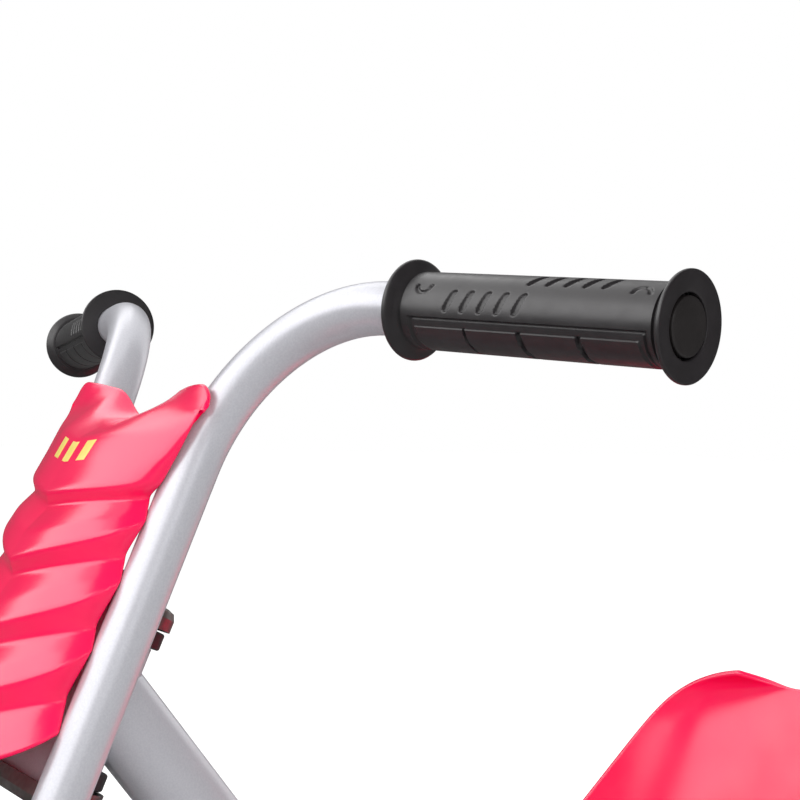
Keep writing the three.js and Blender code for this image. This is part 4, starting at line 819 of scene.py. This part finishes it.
# %% The front wheel's spokes
SPOKES, SPOKE_SAMPLES, SPOKE_HALF = 5, 96, 4.5
SPOKE_CENTRE = np.array([96.0, 0.0])


def at_angles(outline, angles):
    """Where rays from the spoke's centre meet the straight sides of an outline. With p the start of
    a side and s its run, the ray d meets it at the distance (p x s) / (d x s)."""
    p = np.asarray(outline, float) - SPOKE_CENTRE
    ray = np.stack((np.cos(angles), np.sin(angles)), -1)
    run = (np.roll(p, -1, 0) - p)[None]
    d, start = ray[:, None], p[None]
    bottom = d[..., 0] * run[..., 1] - d[..., 1] * run[..., 0]
    bottom = np.where(np.abs(bottom) < 1e-9, 1e-9, bottom)
    far = (start[..., 0] * run[..., 1] - start[..., 1] * run[..., 0]) / bottom
    share = (start[..., 0] * d[..., 1] - start[..., 1] * d[..., 0]) / bottom
    good = (far > 0) & (share > -1e-6) & (share < 1 + 1e-6)
    return SPOKE_CENTRE + ray * np.where(good, far, np.inf).min(1)[:, None]


def soften_loop(loops, radius):
    """Rounds the four corners of a section at every place round the frame, by the same curve
    (1-t)^2 a + 2t(1-t) corner + t^2 b as an outline's corners."""
    back, on = np.roll(loops, 1, 0) - loops, np.roll(loops, -1, 0) - loops
    t = np.linspace(0, 1, 4)[:, None, None, None]
    start, end = loops + unit(back) * radius, loops + unit(on) * radius
    curve = (1 - t) ** 2 * start + 2 * t * (1 - t) * loops + t**2 * end
    return np.moveaxis(curve, 0, 1).reshape(-1, *loops.shape[1:])


angles = np.linspace(0, 2 * np.pi, SPOKE_SAMPLES, endpoint=False)
outer = at_angles(
    rounded([[28, -15.3], [59.7, -9.4], [115, -19], [115, 19], [59.7, 9.4], [28, 15.3]], 7), angles)
window = at_angles(rounded([[78, -1.5], [109.5, -10.2], [109.5, 10.2], [78, 1.5]], 3), angles)
front, rear = np.full(SPOKE_SAMPLES, -SPOKE_HALF), np.full(SPOKE_SAMPLES, SPOKE_HALF)
section = np.stack([
    np.column_stack((outer, front)), np.column_stack((outer, rear)),
    np.column_stack((window, rear)), np.column_stack((window, front)),
])
x, y, z = np.moveaxis(soften_loop(section, 1.3), -1, 0)
for k in range(SPOKES):
    around_hub = math.radians(360 / SPOKES * k - 90)
    c, s = math.cos(around_hub), math.sin(around_hub)
    points = np.stack((z, x * c - y * s, x * s + y * c), -1) + AXLE
    skin(f"front_spoke_{k + 1}", points, gloss_pink_moulding, "front_wheel", ring=True)
print(SPOKES, "spokes of", x.size, "points each")

# %% [markdown]
# Crank, pedals and their small turned parts. The shaft and the sleeves are turned about the axle,
# and the forged arms and the moulded pedals keep their solids with softened edges.

# %% Crank and pedals
shaft_line = rounded([[0, -86], [7, -86], [7, 86], [0, 86]], 0.5, closed=False)
skin("crank_shaft", along_x(turn(shaft_line, 40)) + AXLE, polished_chrome, "front_wheel",
     "crank_axle")
dress(polished_chrome, 1.2, "crank_arm_left", "crank_arm_right")
dress(polished_chrome, 0.7, "crank_cap_left", "crank_cap_right")
dress(bright_zinc_plate, 0.4, "pedal_spindle_left", "pedal_spindle_right")
dress(black_nylon, 1.0, "pedal_left", "pedal_right")
sleeve_line = rounded([[7.3, 31.3], [12, 31.3], [12, 60.4], [7.3, 60.4]], 0.8)
sleeve_skin = along_x(turn(sleeve_line, 40))
skin("hub_sleeve_skin_left", sleeve_skin + AXLE, black_nylon, "front_wheel", "hub_sleeve_left",
     ring=True)
skin("hub_sleeve_skin_right", mirrored(sleeve_skin) + AXLE, black_nylon, "front_wheel",
     "hub_sleeve_right", ring=True)

# %% [markdown]
# The frame is one bent spine with a cross beam. A welder cuts a tube's end to a saddle, so that it
# sits on the next tube all round. Here each point of the tube's last ring slides until it lies just
# inside the other tube, which closes the joint without a boolean.

# %% Spine, beam and seat rail
SPINE, SPINE_BEND, BEAM_RADIUS = 19, 110, 16
BEAM = np.array([0, 273.95, 106.27])
SPINE_CORNER = [0, 62.5, BEAM[2]]
STEM = math.radians(30)
PIVOT = np.array([190, 316.25, 33])


def saddle(points, row, centre, axis, way, radius):
    """Slides each point of a row along way until it is radius from the line through centre, so that
    one tube ends on another. The slide t solves |p + t d| = radius, where p and d are the point and
    the way seen along the line. A point that misses the tube stops level with its middle. The next
    row outwards goes to the same places."""
    across = np.asarray(points[row] - centre)
    across = across - (across @ axis)[:, None] * axis
    d = way - (way @ axis) * axis
    b, c = across @ d, (across**2).sum(1) - radius**2
    slide = (-b + np.sqrt(np.maximum(b**2 - (d @ d) * c, 0))) / (d @ d)
    points[row] = points[row] + slide[:, None] * way
    points[row - 1 if row > 0 else row + 1] = points[row]


spine_start = on_fork(HEAD_AXIS + [0, 0, -42])
points, heading, axis = bent_path(spine_start, SPINE_CORNER, BEAM, SPINE_BEND)
spine = tube(points, heading, axis, SPINE)
across_beam = np.array([1.0, 0, 0])
saddle(spine, 2, spine_start, lean_back([0, 0, 1]), heading[0], 18.3)
saddle(spine, -3, BEAM, across_beam, -heading[-1], 16.3)
skin("bent_spine", spine, silver_flake_paint, "frame", "spine_tube")
beam = tube(np.array([[-182.0, 0, 0], [182.0, 0, 0]]) + BEAM, np.stack([across_beam, across_beam]),
            np.array([0, 0, 1.0]), BEAM_RADIUS)
stem_way = np.array([0, -math.sin(STEM), math.cos(STEM)])
saddle(beam, 2, BEAM - PIVOT[0] * across_beam, stem_way, across_beam, 16.3)
saddle(beam, -3, BEAM + PIVOT[0] * across_beam, stem_way, -across_beam, 16.3)
skin("cross_beam", beam, silver_flake_paint, "frame", "rear_beam")
dress(silver_flake_paint, 1.0, "seat_rail")
print("the spine's grid is", spine.shape, "and the beam's is", beam.shape)

# %% [markdown]
# Each caster turns about a stem that leans back by 30 degrees. Its socket is turned about that stem
# and its wheel about the wheel's axle, and the pressed fork and the hardware keep their solids.

# %% The casters
WHEEL = np.array([190, 340.5, 47])


def on_stem(points):
    """Turns points about X by the stem's angle, y' = y cos - z sin and z' = y sin + z cos, and
    moves them to the left pivot."""
    x, y, z = np.moveaxis(np.asarray(points, float), -1, 0)
    c, s = math.cos(STEM), math.sin(STEM)
    return np.stack((x, y * c - z * s, y * s + z * c), -1) + PIVOT


socket = on_stem(turn(rounded([[12, 63.6], [16, 63.6], [16, 105.6], [12, 105.6]], 0.8)))
caster_tyre = tyre(47, 13, 26, 0, 120) + WHEEL
hub_line = rounded([[4.4, -15.7], [14, -15.7], [14, -5], [28.4, -11], [33.7, -11], [33.7, 11],
                    [28.4, 11], [14, 5], [14, 15.7], [4.4, 15.7]], 1.2)
caster_hub = along_x(turn(hub_line)) + WHEEL
for side in ("left", "right"):
    flip = np.array if side == "left" else mirrored
    wheel = side + "_caster_wheel"
    skin("stem_socket_" + side, flip(socket), silver_flake_paint, "frame", "caster_socket_" + side,
         ring=True)
    skin("caster_tread_" + side, flip(caster_tyre), tyre_compound, wheel, "caster_tyre_" + side,
         ring=True, crease=60)
    skin("caster_centre_" + side, flip(caster_hub), gloss_pink_moulding, wheel,
         "caster_hub_" + side, ring=True)
    dress(black_nylon, 0.4, "caster_bush_" + side)
    dress(bright_zinc_plate, 0.5, "caster_bearing_" + side, "caster_stem_" + side)
    dress(bright_zinc_plate, 0.8, "caster_fork_" + side)
    dress(bright_zinc_plate, 0.5, "caster_axle_" + side)

# %% [markdown]
# The seat is a moulded bucket: a level pan, a round bend and a raked back, with bolsters that rise
# along both sides. Each station down its middle says where it is, which way it faces, how wide it
# is and how high its bolster stands.

# %% The bucket seat
FLOOR, BEND_START, BEND_RADIUS, PAN_LENGTH, BACK_HEIGHT = 155.87, 248.5, 62, 158, 148
LEAN_BACK = math.radians(72)
HALF_FRONT, HALF_BACK, BOLSTER, SEAT_WALL = 104, 122, 42, 4


def seat_sheet(columns=81):
    """Across a station, x = half sin a, and the bolster rises by wrap |sin a|^3.2 along the way
    that the station faces. The stations follow the pan, a round bend and the back."""
    u = np.linspace(0, 1, 40, endpoint=False)
    height = FLOOR - 6 * np.maximum(0, 1 - 4 * u) ** 2
    half = HALF_FRONT + (HALF_BACK - HALF_FRONT) * np.sin(u * np.pi / 2)
    half = half * (1 - 0.14 * np.maximum(0, 1 - 5 * u) ** 2.2)
    wrap = BOLSTER * (0.3 + 0.7 * u)
    pan = np.stack((BEND_START - PAN_LENGTH * (1 - u), height, 0 * u, half, wrap), -1)
    lean = np.linspace(0, LEAN_BACK, 30, endpoint=False)
    bend_back = BEND_START + BEND_RADIUS * np.sin(lean)
    bend_height = FLOOR + BEND_RADIUS * (1 - np.cos(lean))
    bend = np.stack((bend_back, bend_height, lean, 0 * lean + HALF_BACK, 0 * lean + BOLSTER), -1)
    up = np.sin(np.linspace(0, np.pi / 2, 40))
    start_back = BEND_START + BEND_RADIUS * np.sin(LEAN_BACK)
    start_height = FLOOR + BEND_RADIUS * (1 - np.cos(LEAN_BACK))
    rise = (BACK_HEIGHT + FLOOR - start_height) * up
    half = 84 * np.sqrt(1 - 0.75 * up**8) + 38 * (1 - up)
    top = np.stack((start_back + rise / np.tan(LEAN_BACK), start_height + rise, 0 * up + LEAN_BACK,
                    half, BOLSTER * (1 - 0.65 * up)), -1)
    back, height, lean, half, wrap = (v[:, None] for v in np.concatenate([pan, bend, top]).T)
    a = np.linspace(-np.pi / 2, np.pi / 2, columns)
    out = wrap * np.abs(np.sin(a)) ** 3.2
    return np.stack((np.sin(a) * half, back - out * np.sin(lean), height + out * np.cos(lean)), -1)


sheet = seat_sheet()[:, ::-1]
skin("bucket_seat", shell(sheet, SEAT_WALL), gloss_pink_moulding, "seat", "seat_shell", crease=60)
dress(bright_zinc_plate, 0.5, "seat_mount", "clamp_stud_nut", "seat_bolt_1", "seat_bolt_2")
dress(black_nylon, 1.2, "seat_clamp_knob")
print("the seat's surface has", sheet.shape[0], "rows of", sheet.shape[1], "points")

# %% [markdown]
# The studio is plain: a white floor that runs out of sight, a white surround and soft lights. The
# floor shows white to the camera through a faint glow and keeps the trike's shadow. In reflections
# it
# has painted shade: it is darker there, as a floor in the trike's own shade is.

# %% The floor
REACH = 12
corners = [(-REACH, -REACH, 0), (REACH, -REACH, 0), (REACH, REACH, 0), (-REACH, REACH, 0)]
floor_mesh = bpy.data.meshes.new("floor")
floor_mesh.from_pydata(corners, [], [(0, 1, 2, 3)])
floor = bpy.data.objects.new("floor", floor_mesh)
bpy.context.scene.collection.objects.link(floor)
studio_floor = bpy.data.materials.new("studio_floor")
studio_floor.use_nodes = True
tree = studio_floor.node_tree
tree.nodes.remove(tree.nodes["Principled BSDF"])
rays = add_node(tree, "ShaderNodeLightPath").outputs
seen = add_node(tree, "ShaderNodeMath", {"operation": "MULTIPLY", 1: 0.6},
                {0: rays["Is Camera Ray"]})
glow = add_node(tree, "ShaderNodeEmission", {"Color": (1, 1, 1, 1)}, {"Strength": seen.outputs[0]})
# Painted shade: reflections see the floor's colour at 0.2 instead of 0.8, for the trike's own shade
# on it.
tone = add_node(tree, "ShaderNodeMapRange", {"To Min": 0.8, "To Max": 0.2},
                {"Value": rays["Is Glossy Ray"]})
matt = add_node(tree, "ShaderNodeBsdfDiffuse", {}, {"Color": tone.outputs["Result"]})
both = add_node(tree, "ShaderNodeAddShader", {}, {0: glow.outputs[0], 1: matt.outputs[0]})
tree.links.new(both.outputs[0], tree.nodes["Material Output"].inputs["Surface"])
floor_mesh.materials.append(studio_floor)
print("floor", tuple(round(v, 1) for v in floor.dimensions), "m")

# %% [markdown]
# The surround is white wherever it is seen, straight on or in a reflection, and gives the trike no
# more light than a plain room would.

# %% The surround
world = bpy.data.worlds.new("studio")
bpy.context.scene.world = world
world.use_nodes = True
tree = world.node_tree
rays = add_node(tree, "ShaderNodeLightPath").outputs
seen = add_node(tree, "ShaderNodeMath", {"operation": "MAXIMUM"},
                {0: rays["Is Camera Ray"], 1: rays["Is Glossy Ray"]})
seen = add_node(tree, "ShaderNodeMath", {"operation": "MAXIMUM"},
                {0: seen.outputs[0], 1: rays["Is Transmission Ray"]})
strength = add_node(tree, "ShaderNodeMapRange", {"To Min": 0.55, "To Max": 1},
                    {"Value": seen.outputs[0]})
tree.nodes["Background"].inputs["Color"].default_value = (1, 1, 1, 1)
tree.links.new(strength.outputs["Result"], tree.nodes["Background"].inputs["Strength"])
print("the surround has", len(tree.nodes), "nodes")

# %% [markdown]
# The lamps light the trike, and the cards are what its glossy surfaces show. A pale card above the
# front gives the broad soft highlight on the cowl. Darker cards beside the camera stand for the
# unlit side of the studio, and draw the grey band down the middle of the tubes. Only reflections
# see the cards.

# %% Lamps
AIM = (0.0, -0.15, 0.4)


def softbox(name, azimuth, elevation, distance, size, radiance):
    """An area lamp turned to the aim. Its place is aim + distance (sin a cos e, -cos a cos e,
    sin e), with a from the front to the left hand. Its power is radiance times pi times area."""
    a, e = math.radians(azimuth), math.radians(elevation)
    way = Vector((math.sin(a) * math.cos(e), -math.cos(a) * math.cos(e), math.sin(e)))
    lamp = bpy.data.lights.new(name, "AREA")
    lamp.shape, lamp.size, lamp.size_y = "RECTANGLE", size[0], size[1]
    lamp.energy = radiance * math.pi * size[0] * size[1]
    made = bpy.data.objects.new(name, lamp)
    made.location = Vector(AIM) + way * distance
    made.rotation_euler = way.to_track_quat("Z", "Y").to_euler()
    made.visible_glossy = False
    bpy.context.scene.collection.objects.link(made)
    print(name, "gives", round(lamp.energy, 1), "W")


softbox("key_softbox", -10, 42, 2.6, (1.6, 1.2), 4.4)
softbox("side_softbox", 85, 25, 2.6, (1.4, 1.2), 6.5)
softbox("back_softbox", 200, 40, 2.6, (1.6, 1.0), 1.6)

# %% [markdown]
# Each card is a piece of a ball round the aim. A flat card would do for one view, but a curved one
# looks the same width from every side. The list gives the azimuths, the elevations, the distance in
# metres and the brightness, where 1 is white.

# %% Reflection cards
CARDS = {
    "pale_card": ((-60, 40), (10, 48), 2.4, 2.6),
    "pale_card_left": ((-122, -45), (34, 54), 2.4, 2.4),
    "grey_card": ((40, 57), (8, 48), 2.45, 0.7),
    "pale_card_right": ((57, 88), (2, 18), 2.4, 0.8),
    "dark_card_left": ((-140, -45), (-8, 34), 2.6, 0.12),
    "dark_card_high": ((18, 57), (44, 84), 2.35, 0.05),
    "dark_card_front": ((-60, 57), (-9, 8), 2.5, 0.1),
    "dark_card_camera": ((57, 120), (17, 84), 2.5, 0.05),
    "dark_card_low": ((57, 118), (-9, 3), 2.5, 0.1),
    "dark_card_right": ((88, 190), (-8.5, 78), 2.55, 0.08),
}


def card(name, azimuths, elevations, distance, radiance):
    """A point of a card is aim + distance (sin a cos e, -cos a cos e, sin e), with a and e going
    from the first to the last azimuth and elevation."""
    a, e = np.meshgrid(np.radians(np.linspace(*azimuths, 25)),
                       np.radians(np.linspace(*elevations, 13)), indexing="ij")
    way = np.stack((np.sin(a) * np.cos(e), -np.cos(a) * np.cos(e), np.sin(e)), -1)
    made = add_mesh(name, (way * distance + AIM) / MM, sheet_faces(*a.shape))
    made.data.shade_smooth()
    material = bpy.data.materials.new(name + "_paper")
    material.use_nodes = True
    tree = material.node_tree
    tree.nodes.remove(tree.nodes["Principled BSDF"])
    shine = add_node(tree, "ShaderNodeEmission", {"Color": (1, 1, 1, 1), "Strength": radiance})
    tree.links.new(shine.outputs[0], tree.nodes["Material Output"].inputs["Surface"])
    made.data.materials.append(material)
    for ray in ("camera", "diffuse", "transmission", "volume_scatter", "shadow"):
        setattr(made, "visible_" + ray, False)


for name, values in CARDS.items():
    card(name, *values)
bpy.context.scene.view_settings.view_transform = "Standard"
print(len(bpy.data.lights), "lamps and", len(CARDS), "cards")
